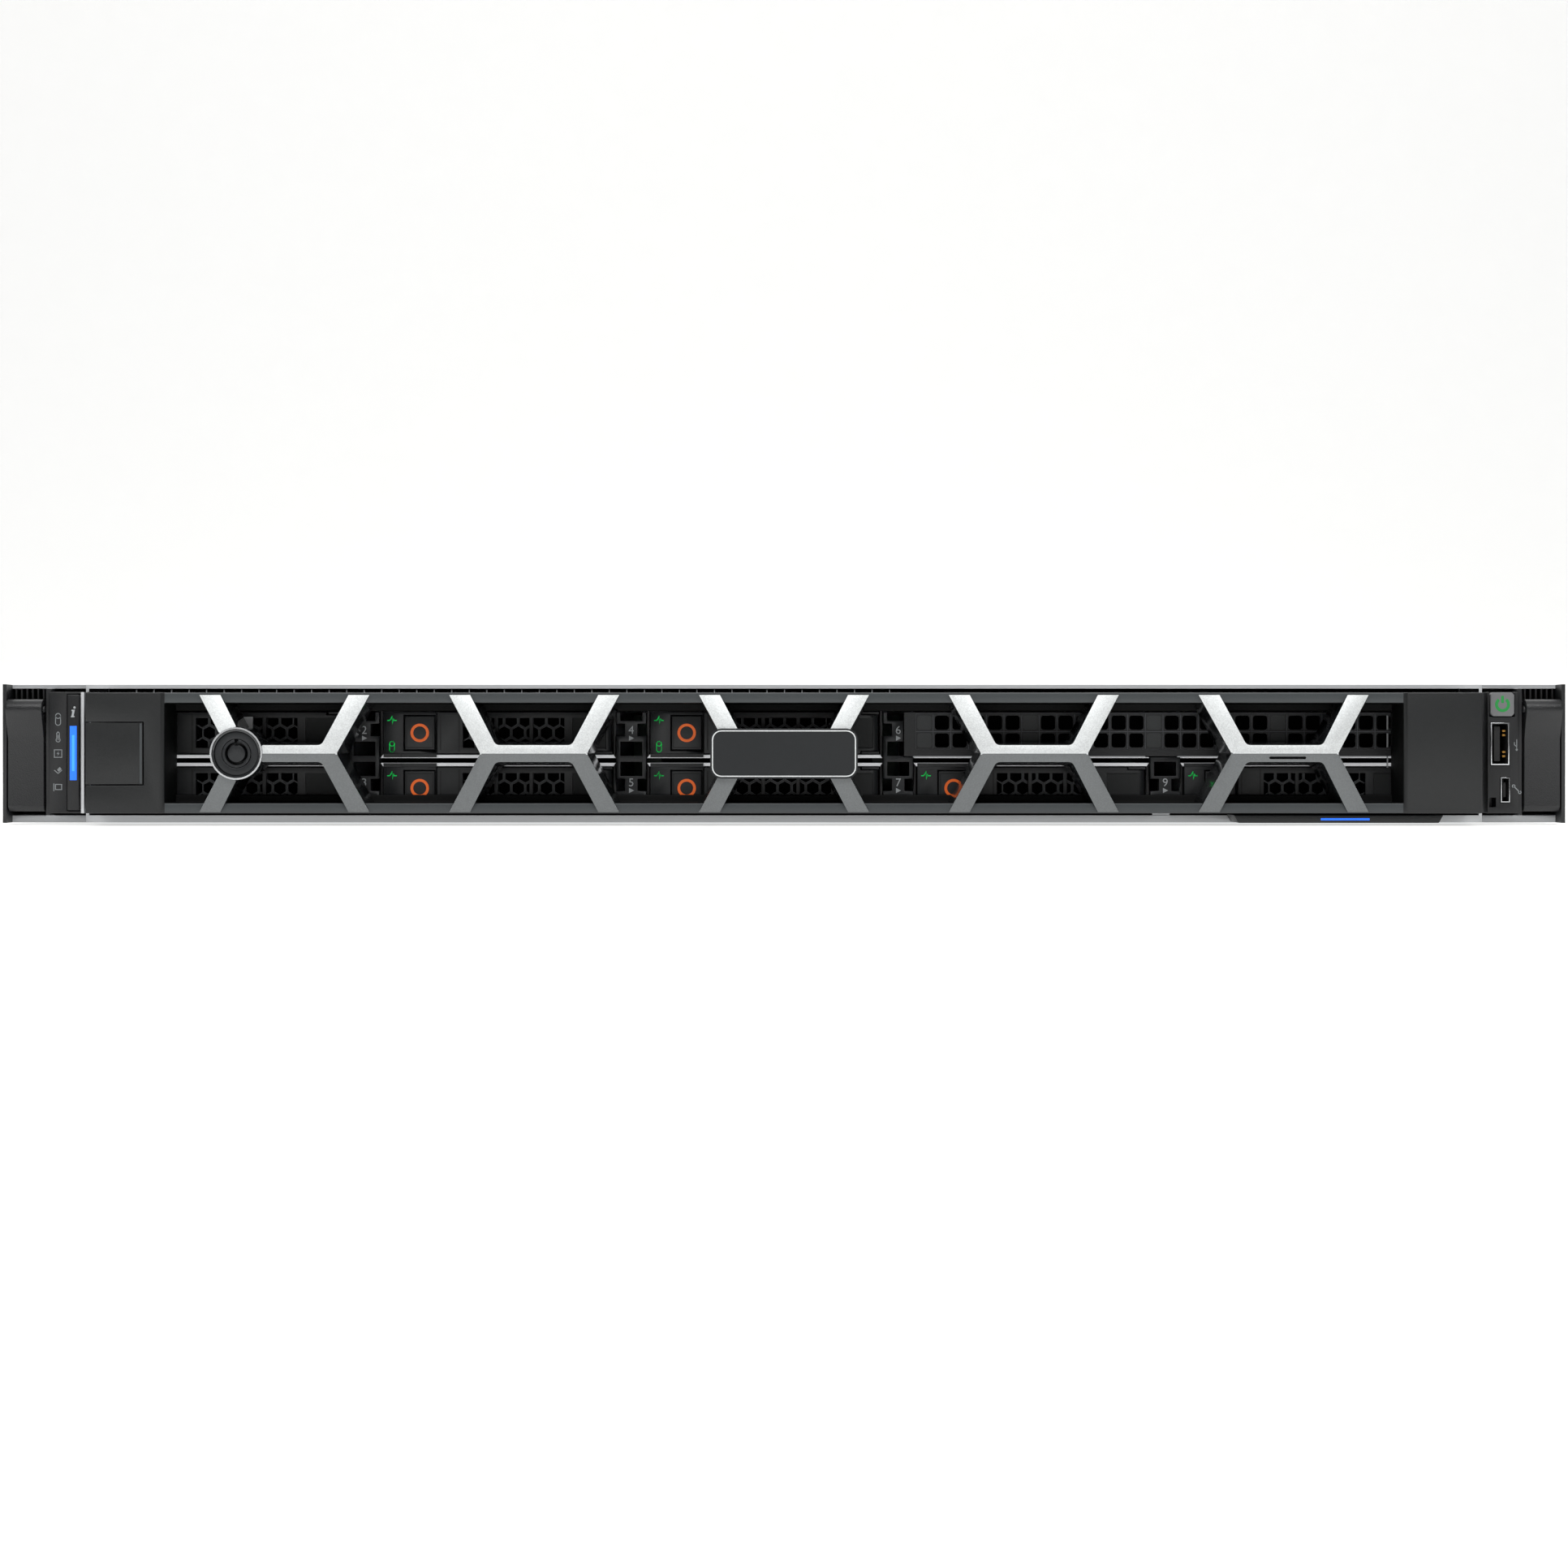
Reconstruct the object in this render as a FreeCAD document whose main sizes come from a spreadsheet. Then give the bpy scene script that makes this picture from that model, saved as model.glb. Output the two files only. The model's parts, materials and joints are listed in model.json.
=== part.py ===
"""A 1U rack server with its security bezel, eight drives, fans and supplies.

Millimetres.  X runs to the right seen from the front, Y runs back, Z up.
The origin lies under the middle of the whole machine, on its underside.
"""
import FreeCAD, Part
import os
import re
import Sketcher

V = FreeCAD.Vector
doc = FreeCAD.newDocument("rack_server")

SIZES = {
    # whole machine
    "ear_reach": 24.0,             # chassis side to the tip of a rack ear
    "chassis_height": 42.8,
    "bezel_reach": 35.8,           # rack plane to the crest of the bezel
    "chassis_depth": 534.6,        # rack plane to the rear wall
    "handle_reach": 28.2,          # rear wall to the end of a supply handle
    "strip_setback": 21.0,         # crest to the front edge of the sheets
    "ear_setback": 14.0,           # crest to the ear fronts
    # sheet metal
    "wall_sheet": 1.0,
    "floor_sheet": 1.2,
    "hem_height": 2.2,             # folded front edge of the floor
    "hem_depth": 2.6,
    "flange_width": 6.0,           # inward flange along the top of the walls
    "cover_sheet": 1.0,
    "cover_gap": 0.2,              # cover above the wall flange
    "deck_depth": 112.0,           # fixed front deck, front to back
    "deck_gap": 0.6,               # between deck and lift-off cover
    # rail studs on the chassis sides
    "stud_first": 62.0,            # rack plane to the first stud
    "stud_pitch": 205.0,
    "stud_radius": 2.9,
    "stud_length": 2.6,
    # drive bays
    "face_setback": 1.0,           # sheet front to drive faces
    "bay_count": 5,
    "bay_gap": 11.9,               # between neighbouring columns
    "bay_margin": 15.2,            # half the room left beside the columns
    "bay_shift": -6.0,             # middle bay from the centre line
    "carrier_width": 71.2,
    "carrier_height": 13.1,
    "carrier_depth": 107.0,
    "lower_row": 4.1,              # underside of the lower carriers
    "upper_row": 21.3,             # underside of the upper carriers
    "bay_play": 0.3,               # carrier to cage
    "bay_sheet": 0.8,              # cage side sheets
    "shelf_sheet": 1.0,
    "cage_top": 35.4,
    "cage_setback": 1.5,           # drive face to the cage front
    "cage_depth": 110.5,
    # drive carriers
    "light_width": 5.2,            # indicator strip
    "button_left": 6.6,            # carrier edge to button
    "button_width": 9.4,
    "button_height": 10.6,
    "button_thick": 4.6,
    "button_play": 0.3,
    "button_travel": 1.5,
    "block_width": 16.4,           # fixed block left of the handle
    "block_depth": 9.5,
    "handle_play": 0.35,
    "handle_thick": 5.2,
    "knuckle": 5.4,                # length of the hinge end
    "lug_sheet": 0.8,
    "lug_setback": 1.4,
    "pin_radius": 0.8,
    "pin_play": 0.2,
    "grip_width": 8.0,             # smooth grip of a handle
    "window_rail": 1.9,
    "window_width": 9.8,
    "window_rib": 1.1,
    "tag_left": 58.9,              # carrier edge to the tag recess
    "tag_width": 10.4,
    "tag_sink": 0.5,
    # plastic posts between the bays
    "post_width": 9.3,
    "post_depth": 5.0,
    "post_window": 6.8,
    "post_notch": 2.7,
    # wide vent panel over the two right-hand columns
    "vent_lap": 4.1,               # past the left edge of its first column
    "vent_low": 20.6,
    "vent_height": 13.6,
    "vent_depth": 9.0,
    "vent_face": 1.5,
    "vent_pitch": 5.5,
    "vent_hole": 3.7,
    "vent_margin": 5.4,            # panel edge to the middle of its first hole
    # backplane
    "board_sheet": 1.6,
    "plug_length": 34.0,
    "plug_height": 5.0,
    "plug_gap": 0.4,
    "slot_width": 52.0,            # air slots through the backplane
    "slot_height": 5.4,
    # bezel frame
    "bezel_gap": 4.4,              # chassis side to the bezel end
    "bezel_low": 3.2,
    "bezel_high": 40.0,
    "bezel_depth": 18.0,
    "rail_setback": 3.2,           # crest to the frame's rails
    "bezel_block": 23.9,           # width of an end block
    "window_low": 6.3,
    "window_high": 36.8,
    "throat_low": 8.6,
    "throat_high": 34.6,
    "throat_depth": 2.4,           # thickness of the inner lip
    "frame_bevel": 1.2,
    "hook_reach": 2.6,
    "hook_height": 7.0,
    # H-shaped bars
    "unit_margin": 10.9,           # window end to the first unit
    "unit_tip": 16.2,              # half width at the waist
    "unit_end": 25.7,              # half width at the ends
    "unit_height": 35.7,
    "bar_width": 6.0,              # width of a slanted leg, along X
    "waist": 5.1,                  # thickness of the cross bar
    "bar_depth": 15.5,
    "bar_draft": 4.2,              # degrees
    "fold_drop": 2.2,              # crest to the bar ends
    "bar_round": 2.0,
    "lap_play": 0.1,
    # lock
    "lock_offset": 14.3,           # middle of its unit to the lock
    "lock_radius": 8.0,
    "lock_ring": 1.2,
    "lock_sink": 0.8,
    "lock_depth": 17.0,
    "core_radius": 4.3,
    "core_play": 0.15,
    "key_outer": 3.5,
    "key_inner": 2.6,
    "key_depth": 4.0,
    "key_notch": 1.2,
    "cam_sheet": 1.4,
    "cam_width": 3.6,
    "cam_reach": 11.4,
    # release button at the left end of the bezel
    "release_width": 17.4,
    "release_height": 18.8,
    "release_left": 0.6,           # bezel end to the button
    "release_thick": 4.0,
    "release_play": 0.3,
    "release_travel": 2.0,
    # ears, levers, control panels
    "ear_sheet": 2.0,
    "ear_wall": 1.2,
    "ear_low": 3.0,
    "ear_high": 40.4,
    "panel_width": 9.7,            # control panel, chassis side to lever
    "lever_play": 0.35,
    "lever_low": 3.6,
    "lever_sheet": 3.0,
    "lever_flange": 1.2,
    "lever_side": 8.0,             # depth of the lever's side flanges
    "nose_radius": 3.1,
    "nose_height": 35.0,
    "lever_pin": 1.1,
    "lever_pin_play": 0.2,
    "rack_hole": 3.4,
    "hole_reach": 15.55,           # chassis side to the rack hole
    "bracket_leg": 40.0,
    # controls
    "strip_width": 3.8,
    "strip_low": 3.9,
    "strip_high": 39.6,
    "strip_proud": 0.5,
    "strip_thick": 3.0,
    "control_play": 0.2,
    "control_travel": 0.8,
    "control_sink": 6.0,
    "power_side": 7.4,
    "power_low": 32.9,
    "power_left": 0.8,
    "usb_width": 5.8,
    "usb_height": 13.2,
    "usb_low": 17.8,
    "usb_left": 0.9,
    "usb_shell": 0.5,
    "usb_depth": 12.0,
    "usb_tongue": 1.9,
    "micro_width": 2.9,
    "micro_height": 7.8,
    "micro_low": 6.3,
    "micro_left": 4.0,
    "oval_width": 2.0,
    "oval_height": 3.0,
    "oval_low": 4.8,
    "oval_left": 0.6,
    # pull-out information tag
    "card_margin": 14.5,           # right wall to the tag
    "card_width": 64.0,
    "card_low": 0.2,
    "card_high": 2.6,
    "card_reach": 15.4,            # sheet front to the pull's front edge
    "card_inset": 3.5,
    "card_sheet": 0.8,
    "card_length": 66.0,
    "card_bevel": 4.0,
    "card_travel": 55.0,
    # fans
    "fan_count": 4,
    "fan_pitch": 52.0,
    "fan_width": 40.4,
    "fan_height": 38.0,
    "fan_depth": 56.0,
    "fan_gap": 14.0,               # backplane to the fans
    "fan_bore": 18.6,
    "blade_tip": 18.0,
    "hub_radius": 9.0,
    "hub_depth": 30.0,
    "rotor_inset": 4.0,
    "motor_gap": 0.5,
    "motor_depth": 10.0,
    "tray_sheet": 1.0,
    # main board
    "board_seat": 1.8,             # floor to the underside of the board
    "board_gap": 4.0,              # fans to the board
    "board_margin": 4.0,           # side walls to the board
    "board_clear": 4.4,            # board to the supplies beside it
    "pillar_radius": 3.0,
    "socket_side": 58.0,
    "socket_height": 4.0,
    "sink_width": 88.0,
    "sink_depth": 112.0,
    "sink_base": 5.0,
    "sink_height": 28.5,
    "sink_shift": -40.0,
    "sink_setback": 14.0,          # board front to the heat sink
    "fin_sheet": 0.8,
    "fin_pitch": 4.6,
    "module_length": 133.3,
    "module_height": 31.2,
    "module_sheet": 1.4,
    "module_pitch": 9.4,
    "module_count": 6,
    "module_gap": 10.0,            # heat sink to the first module
    "slot_length": 142.0,
    "slot_base": 6.6,
    "slot_floor": 2.4,
    # air shroud
    "shroud_low": 39.2,
    "shroud_sheet": 1.2,
    "shroud_margin": 7.0,
    "shroud_depth": 152.0,
    # riser and adapter card
    "riser_inset": 124.0,          # left wall to the riser
    "riser_front": 142.0,          # rear wall to the riser's front edge
    "riser_depth": 120.0,
    "card_rise": 20.0,
    "card_span": 106.0,
    # power supplies
    "supply_width": 73.5,
    "supply_height": 39.0,
    "supply_depth": 185.0,
    "supply_gap": 2.0,
    "supply_play": 0.3,
    "supply_side": 2.6,            # side wall to the outer supply
    "inlet_width": 28.0,
    "inlet_height": 20.5,
    "inlet_depth": 18.0,
    "inlet_left": 6.0,
    "grille_radius": 15.6,
    "grip_span": 26.0,
    "grip_post": 5.0,
    "grip_low": 4.0,
    "tab_width": 8.0,
    "tab_sheet": 1.6,
    "tab_reach": 20.0,
    "tab_height": 22.0,
    # rear connectors
    "jack_width": 16.0,
    "jack_height": 13.5,
    "jack_depth": 21.0,
    "jack_pitch": 18.0,
    "jack_count": 5,
    "jack_mouth": 12.4,
    "jack_rim": 2.2,
    "port_proud": 0.4,
    "jack_clear": 18.4,            # last network jack to the supplies
    "port_play": 0.3,
    "rear_usb_width": 13.2,
    "rear_usb_height": 15.0,
    "video_width": 31.0,
    "video_height": 12.6,
    "video_depth": 12.0,
    # lift-off cover
    "dish_width": 34.0,
    "dish_length": 74.0,
    "dish_depth": 5.0,
    "dish_front": 200.0,           # rear wall to the dish
    "latch_play": 0.6,
    "latch_sheet": 2.4,
    "latch_pin": 1.2,
    "latch_pin_play": 0.2,
}

sheet = doc.addObject("Spreadsheet::Sheet", "Sizes")
for row, (word, number) in enumerate(SIZES.items(), start=1):
    sheet.set(f"A{row}", "'" + word.replace("_", " "))
    sheet.set(f"B{row}", str(number))
    sheet.setAlias(f"B{row}", word)
doc.recompute()

# Planes that several pieces share, as expressions of the sizes.
CREST = "(0 - (bezel_reach + chassis_depth + handle_reach) / 2)"
RACK = f"({CREST} + bezel_reach)"
REAR = f"({RACK} + chassis_depth)"
SHEETS = f"({CREST} + strip_setback)"
EARS = f"({CREST} + ear_setback)"
FACE = f"({SHEETS} + face_setback)"
PITCH = "(carrier_width + bay_gap)"
HALF = f"((bay_count * {PITCH} - bay_gap) / 2 + bay_margin)"
INNER = f"({HALF} - wall_sheet)"
TIP = f"({HALF} + ear_reach)"
MIDDLE = "(chassis_height / 2)"
LID = "(chassis_height - cover_sheet)"
LEDGE = f"({LID} - cover_gap)"
DECK_END = f"({SHEETS} + deck_depth)"
CAGE = f"({FACE} + cage_setback)"
CAGE_END = f"({CAGE} + cage_depth)"
PLANE_END = f"({CAGE_END} + board_sheet)"
FANS = f"({PLANE_END} + fan_gap)"
FANS_END = f"({FANS} + fan_depth)"
BOARD = f"({FANS_END} + board_gap)"
BOARD_LOW = "(floor_sheet + board_seat)"
BOARD_TOP = f"({BOARD_LOW} + board_sheet)"
BAY = "(bay_shift - carrier_width / 2)"        # left edge of the middle column
MAST = f"(carrier_width + {PITCH}) / 2"         # column edge to post middle
SUPPLY = f"({HALF} - wall_sheet - supply_side)"   # right side of the outer supply
SINK_LOW = f"({BOARD_TOP} + socket_height)"
LEVER_IN = f"({HALF} + panel_width)"
SUPPLY_LEFT = f"({SUPPLY} - 2 * supply_width - supply_gap)"
JACKS = f"({SUPPLY_LEFT} - jack_clear - jack_width / 2 - (jack_count - 1) * jack_pitch)"
BOARD_RIGHT = f"({INNER} - board_margin)"
BOARD_LEFT = f"(0 - {BOARD_RIGHT})"
BOARD_SPLIT = f"({SUPPLY_LEFT} - board_clear)"     # right edge beside the supplies
RISER = f"(riser_inset - {INNER})"
VENT = f"({BAY} + {PITCH} - vent_lap)"
VENT_WIDTH = f"(carrier_width + {PITCH} + vent_lap)"
CARD = f"({INNER} - card_margin - card_width)"


# ---------------------------------------------------------------- helpers

WORD = re.compile(r"\b[a-z][a-z_0-9]*\b(?!\()")


def tie(text):
    """An expression over the sheet, from one written with bare size names."""
    return WORD.sub(lambda found: "Sizes." + found.group(), str(text))


def number(text):
    """The present value of such an expression."""
    return float(sheet.evalExpression(tie(text)))


def bind(thing, **fields):
    """Tie properties of an object to expressions."""
    for name, text in fields.items():
        thing.setExpression(name.replace("__", "."), tie(text))
    return thing


def place(thing, x=0, y=0, z=0, turn=None):
    """Put an object at a tied position, turned by a fixed rotation."""
    if turn is not None:
        thing.Placement = FreeCAD.Placement(V(0, 0, 0), turn)
    for axis, text in zip("xyz", (x, y, z)):
        if str(text) != "0":
            thing.setExpression("Placement.Base." + axis, tie(text))
    return thing


def box(xs, ys, zs):
    """A block between three pairs of tied limits."""
    made = doc.addObject("Part::Box", "block")
    for field, (low, high) in zip(("Length", "Width", "Height"), (xs, ys, zs)):
        made.setExpression(field, tie(f"({high}) - ({low})"))
    return place(made, xs[0], ys[0], zs[0])


TURNS = {"x": FreeCAD.Rotation(V(0, 1, 0), 90), "y": FreeCAD.Rotation(V(1, 0, 0), -90),
         "z": FreeCAD.Rotation()}


def rod(radius, length, x, y, z, axis="y"):
    """A cylinder that starts at a point and runs along +axis."""
    made = doc.addObject("Part::Cylinder", "rod")
    bind(made, Radius=radius, Height=length)
    return place(made, x, y, z, TURNS[axis])


def peg(radius, length, x, y, z, axis="z", sides=8):
    """A small pin or bore with few faces, from a point along +axis."""
    made = doc.addObject("Part::Prism", "peg")
    made.Polygon = sides
    bind(made, Circumradius=radius, Height=length)
    return place(made, x, y, z, TURNS[axis])


def join(*pieces):
    """One object from several that touch or overlap."""
    if len(pieces) == 1:
        return pieces[0]
    made = doc.addObject("Part::MultiFuse", "join")
    made.Shapes = list(pieces)
    made.Refine = True
    return made


def bundle(*pieces):
    """Several separate solids as one object."""
    made = doc.addObject("Part::Compound", "bundle")
    made.Links = list(pieces)
    return made


def cut(base, *tools):
    """The base less the tools."""
    made = doc.addObject("Part::Cut", "cut")
    made.Base = base
    made.Tool = tools[0] if len(tools) == 1 else join(*tools)
    made.Refine = True
    return made


def mirrored(source):
    """The left-hand twin of a right-hand piece."""
    made = doc.addObject("Part::Mirroring", "twin")
    made.Source = source
    made.Normal = V(1, 0, 0)
    return made


def soften(base, radius, chosen, kind="Part::Fillet"):
    """Round or bevel the edges of an object that a test picks."""
    doc.recompute()
    made = doc.addObject(kind, "soft")
    made.Base = base
    size = number(radius)
    made.Edges = [(index, size, size) for index, edge in enumerate(base.Shape.Edges, 1)
                  if chosen(edge)]
    return made


def along_y(edge):
    """Whether an edge is a straight one along Y."""
    ends = edge.Vertexes
    return len(ends) == 2 and abs(ends[0].Y - ends[1].Y) > 0.99 * edge.Length > 0.1


def at(edge, y=None, z=None):
    """Whether an edge lies wholly at a height or depth."""
    return all((y is None or abs(v.Y - y) < 1e-3) and (z is None or abs(v.Z - z) < 1e-3)
               for v in edge.Vertexes)


def new_body(name="body"):
    """A PartDesign body."""
    return doc.addObject("PartDesign::Body", name)


def plane(body, role):
    """One of the body's own origin planes."""
    return next(o for o in body.Origin.OriginFeatures if o.Role == role)


def outline(body, role, points, offset=None):
    """A closed sketch whose corners are tied to pairs of expressions."""
    sketch = body.newObject("Sketcher::SketchObject", "outline")
    sketch.AttachmentSupport = [(plane(body, role), "")]
    sketch.MapMode = "FlatFace"
    spots = [V(number(a), number(b), 0) for a, b in points]
    count = len(spots)
    for index in range(count):
        sketch.addGeometry(Part.LineSegment(spots[index], spots[(index + 1) % count]), False)
    for index in range(count):
        sketch.addConstraint(Sketcher.Constraint("Coincident", index, 2, (index + 1) % count, 1))
    for index, pair in enumerate(points):
        for kind, text, value in zip(("DistanceX", "DistanceY"), pair,
                                     (spots[index].x, spots[index].y)):
            held = sketch.addConstraint(Sketcher.Constraint(kind, -1, 1, index, 1, value))
            sketch.setExpression(f"Constraints[{held}]", tie(text))
    if offset is not None:
        sketch.setExpression("AttachmentOffset.Base.z", tie(offset))
    return sketch


def pad(body, sketch, length, backward=False, draft=None):
    """Thicken a sketch; on an XZ plane forward is -Y."""
    made = body.newObject("PartDesign::Pad", "Pad")
    made.Profile = sketch
    made.Reversed = backward
    bind(made, Length=length)
    if draft is not None:
        bind(made, TaperAngle=draft)
    return made


def pocket(body, sketch, length, backward=False, through=False):
    """Sink a sketch into the body."""
    made = body.newObject("PartDesign::Pocket", "Pocket")
    made.Profile = sketch
    made.Reversed = backward
    if through:
        made.Type = 1
        made.Midplane = True
    else:
        bind(made, Length=length)
    return made


def repeat(body, feature, axis, step, count):
    """A row of a body's feature along one of its own axes."""
    made = body.newObject("PartDesign::LinearPattern", "row")
    made.Originals = [feature]
    made.Direction = (plane(body, axis), [""])
    made.Mode = "Spacing"
    bind(made, Offset=step)
    made.Occurrences = count
    body.Tip = made
    return made


def prism(role, points, length, backward=False):
    """A body that is one padded outline."""
    body = new_body()
    pad(body, outline(body, role, points), length, backward)
    return body


NODES = {}


def node(name, thing):
    """Give a finished sub-part its name."""
    thing.Label = name
    NODES[name] = thing
    return thing


def copy_of(source, x=0, y=0, z=0):
    """A placed copy of a finished piece."""
    return place(bundle(source), x, y, z)


# ---------------------------------------------------------------- chassis

def minus(text):
    """The same distance on the left of the centre line."""
    return f"(0 - {text})"


def rear_wall():
    """The rear sheet with its row of upright vents."""
    body = new_body()
    pad(body, outline(body, "XZ_Plane", [
        (minus(INNER), "floor_sheet"), (INNER, "floor_sheet"),
        (INNER, LEDGE), (minus(INNER), LEDGE)]), "wall_sheet", backward=True)
    left, low = f"{JACKS} - jack_width", "chassis_height - 17"
    slot = pocket(body, outline(body, "XZ_Plane", [
        (left, low), (f"{left} + 3", low), (f"{left} + 3", f"{low} + 12"),
        (left, f"{low} + 12")]), "wall_sheet + 1")
    repeat(body, slot, "X_Axis", "5.2", 20)
    return place(body, y=f"{REAR} - wall_sheet")


def rack_tray():
    """Floor, walls, top flanges, fixed front deck, rear wall and rail studs."""
    floor = box((minus(HALF), HALF), (SHEETS, REAR), ("0", "floor_sheet"))
    hem = box((minus(HALF), HALF), (SHEETS, f"{SHEETS} + hem_depth"), ("0", "hem_height"))
    deck = box((minus(HALF), HALF), (SHEETS, DECK_END), (LEDGE, "chassis_height"))
    pieces = [floor, hem, deck, rear_wall()]
    for side in (1, -1):
        wall = (INNER, HALF) if side > 0 else (minus(HALF), minus(INNER))
        flange = f"({INNER} - flange_width)"
        lip = (flange, INNER) if side > 0 else (minus(INNER), minus(flange))
        pieces.append(box(wall, (SHEETS, REAR), ("floor_sheet", LEDGE)))
        pieces.append(box(lip, (SHEETS, REAR), (f"{LEDGE} - wall_sheet", LEDGE)))
        for index in range(3):
            y = f"{RACK} + stud_first + {index} * stud_pitch"
            start = HALF if side > 0 else f"(0 - {HALF} - stud_length)"
            pieces.append(rod("stud_radius", "stud_length", start, y, MIDDLE, "x"))
    # the left wall runs on past the bezel as a bare metal edge
    pieces.append(box((minus(HALF), minus(INNER)), (f"{EARS} + 0.4", SHEETS),
                      ("ear_low", "ear_high")))
    for x, y in ((BOARD_LEFT, f"{BOARD} + 12"), ("sink_shift", f"{BOARD} + 12"),
                 (f"{BOARD_RIGHT} - 20", f"{BOARD} + 12"), (BOARD_LEFT, f"{REAR} - 24"),
                 (f"{BOARD_SPLIT} - 20", f"{REAR} - 24"), (f"{BOARD_RIGHT} - 20", f"{BOARD} + 120")):
        pieces.append(box((f"{x} + 4", f"{x} + 4 + 2 * pillar_radius"),
                          (y, f"{y} + 2 * pillar_radius"), ("floor_sheet", BOARD_LOW)))
    back = (f"{REAR} - 2 * wall_sheet", f"{REAR} + wall_sheet")
    left = SUPPLY_LEFT
    holes = [
        box((f"{left} - supply_play", f"{SUPPLY} + supply_play"), back,
            ("floor_sheet", f"floor_sheet + supply_height + 2 * supply_play")),
        box((f"{JACKS} - jack_width / 2 - port_play",
             f"{JACKS} + jack_pitch * (jack_count - 1) + jack_width / 2 + port_play"),
            back, (f"{BOARD_TOP} - port_play", f"{BOARD_TOP} + jack_height + port_play")),
        box((f"{USB_X} - port_play", f"{USB_X} + rear_usb_width + port_play"), back,
            (f"{BOARD_TOP} - port_play", f"{BOARD_TOP} + rear_usb_height + port_play")),
        box((f"{VIDEO_X} - port_play", f"{VIDEO_X} + video_width + port_play"), back,
            (f"{BOARD_TOP} - port_play", f"{BOARD_TOP} + video_height + port_play")),
        box((f"{RISER} - card_span", f"{RISER} - 8"), back,
            ("card_rise - 3", "card_rise + 15")),
        box((f"{CARD} + card_inset - 0.5", f"{CARD} + card_width - card_inset + 0.5"),
            (f"{SHEETS} - 1", f"{SHEETS} + hem_depth + 1"), ("floor_sheet", "hem_height + 1")),
    ]
    return node("chassis_tray", cut(join(*pieces), *holes))


USB_X = f"({JACKS} - jack_width / 2 - rear_usb_width - 5)"
VIDEO_X = f"({USB_X} - video_width - 3)"


def column(index):
    """The left edge of a column of bays, the middle one being 0."""
    return f"({BAY} + {index} * {PITCH})"


ROW_LOW = ("lower_row", "upper_row")


def vent_room(grow):
    """The space that the wide vent panel takes, with play all round."""
    return box((f"{VENT} - {grow}", f"{VENT} + {VENT_WIDTH} + {grow}"),
               (f"{FACE} - 1", f"{FACE} + vent_depth + {grow}"),
               (f"vent_low - {grow}", f"vent_low + vent_height + {grow}"))


def drive_cage():
    """The sheet cage that holds two rows of five drives."""
    low = "(lower_row - bay_play)"
    top = "(upper_row + carrier_height + bay_play)"
    solid = box((f"{minus(INNER)} + 0.2", f"{INNER} - 0.2"), (CAGE, CAGE_END),
                ("card_high + 0.1", "cage_top"))
    through = (f"{CAGE} - 1", f"{CAGE_END} + 1")
    rooms = []
    for index in range(-2, 3):
        xs = (f"{column(index)} - bay_play", f"{column(index)} + carrier_width + bay_play")
        for row in ROW_LOW:
            rooms.append(box(xs, through, (f"{row} - bay_play",
                                           f"{row} + carrier_height + bay_play")))
    for index in range(-3, 3):
        left = f"{column(index)} + carrier_width + bay_play + bay_sheet"
        right = f"{column(index + 1)} - bay_play - bay_sheet"
        if index == -3:
            left = f"{minus(INNER)} + 0.2 + bay_sheet"
        if index == 2:
            right = f"{INNER} - 0.2 - bay_sheet"
        rooms.append(box((left, right), through, (low, top)))
    groove = box((f"{column(-2)} - bay_play", f"{column(2)} + carrier_width + bay_play"),
                 (f"{CAGE} - 1", f"{CAGE_END} - 6"),
                 (f"lower_row + carrier_height + bay_play + shelf_sheet",
                  "upper_row - bay_play - shelf_sheet"))
    return node("drive_cage", cut(solid, *rooms, groove, vent_room("bay_play")))


def bay_dividers():
    """Four plastic posts with their window and notch pattern."""
    half = "(post_width / 2)"
    low, high = "(lower_row - 0.1)", "(upper_row + carrier_height - 0.1)"
    period = "(upper_row - lower_row)"
    blank = box((minus(half), half), ("0", "post_depth"), (low, high))
    deep = ("0 - 1", "post_depth + 1")
    wide = ("0 - post_window / 2", "post_window / 2")
    holes = []
    for shift in ("0", period):
        holes.append(box(wide, deep, (f"lower_row + 10.3 + {shift}", f"lower_row + 14.7 + {shift}")))
        holes.append(box(wide, deep, (f"lower_row + {shift} - 0.6", f"lower_row + 3.8 + {shift}")))
        for side in (1, -1):
            edge = (f"{half} - post_notch", f"{half} + 1")
            if side < 0:
                edge = (f"0 - {half} - 1", f"post_notch - {half}")
            holes.append(box(edge, deep, (f"lower_row + 5.6 + {shift}",
                                          f"lower_row + 9.4 + {shift}")))
    post = cut(blank, *holes)
    row = [copy_of(post, x=f"{column(index)} + {MAST}", y=FACE) for index in range(-2, 2)]
    return node("bay_dividers", cut(bundle(*row), vent_room("bay_play")))


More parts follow.
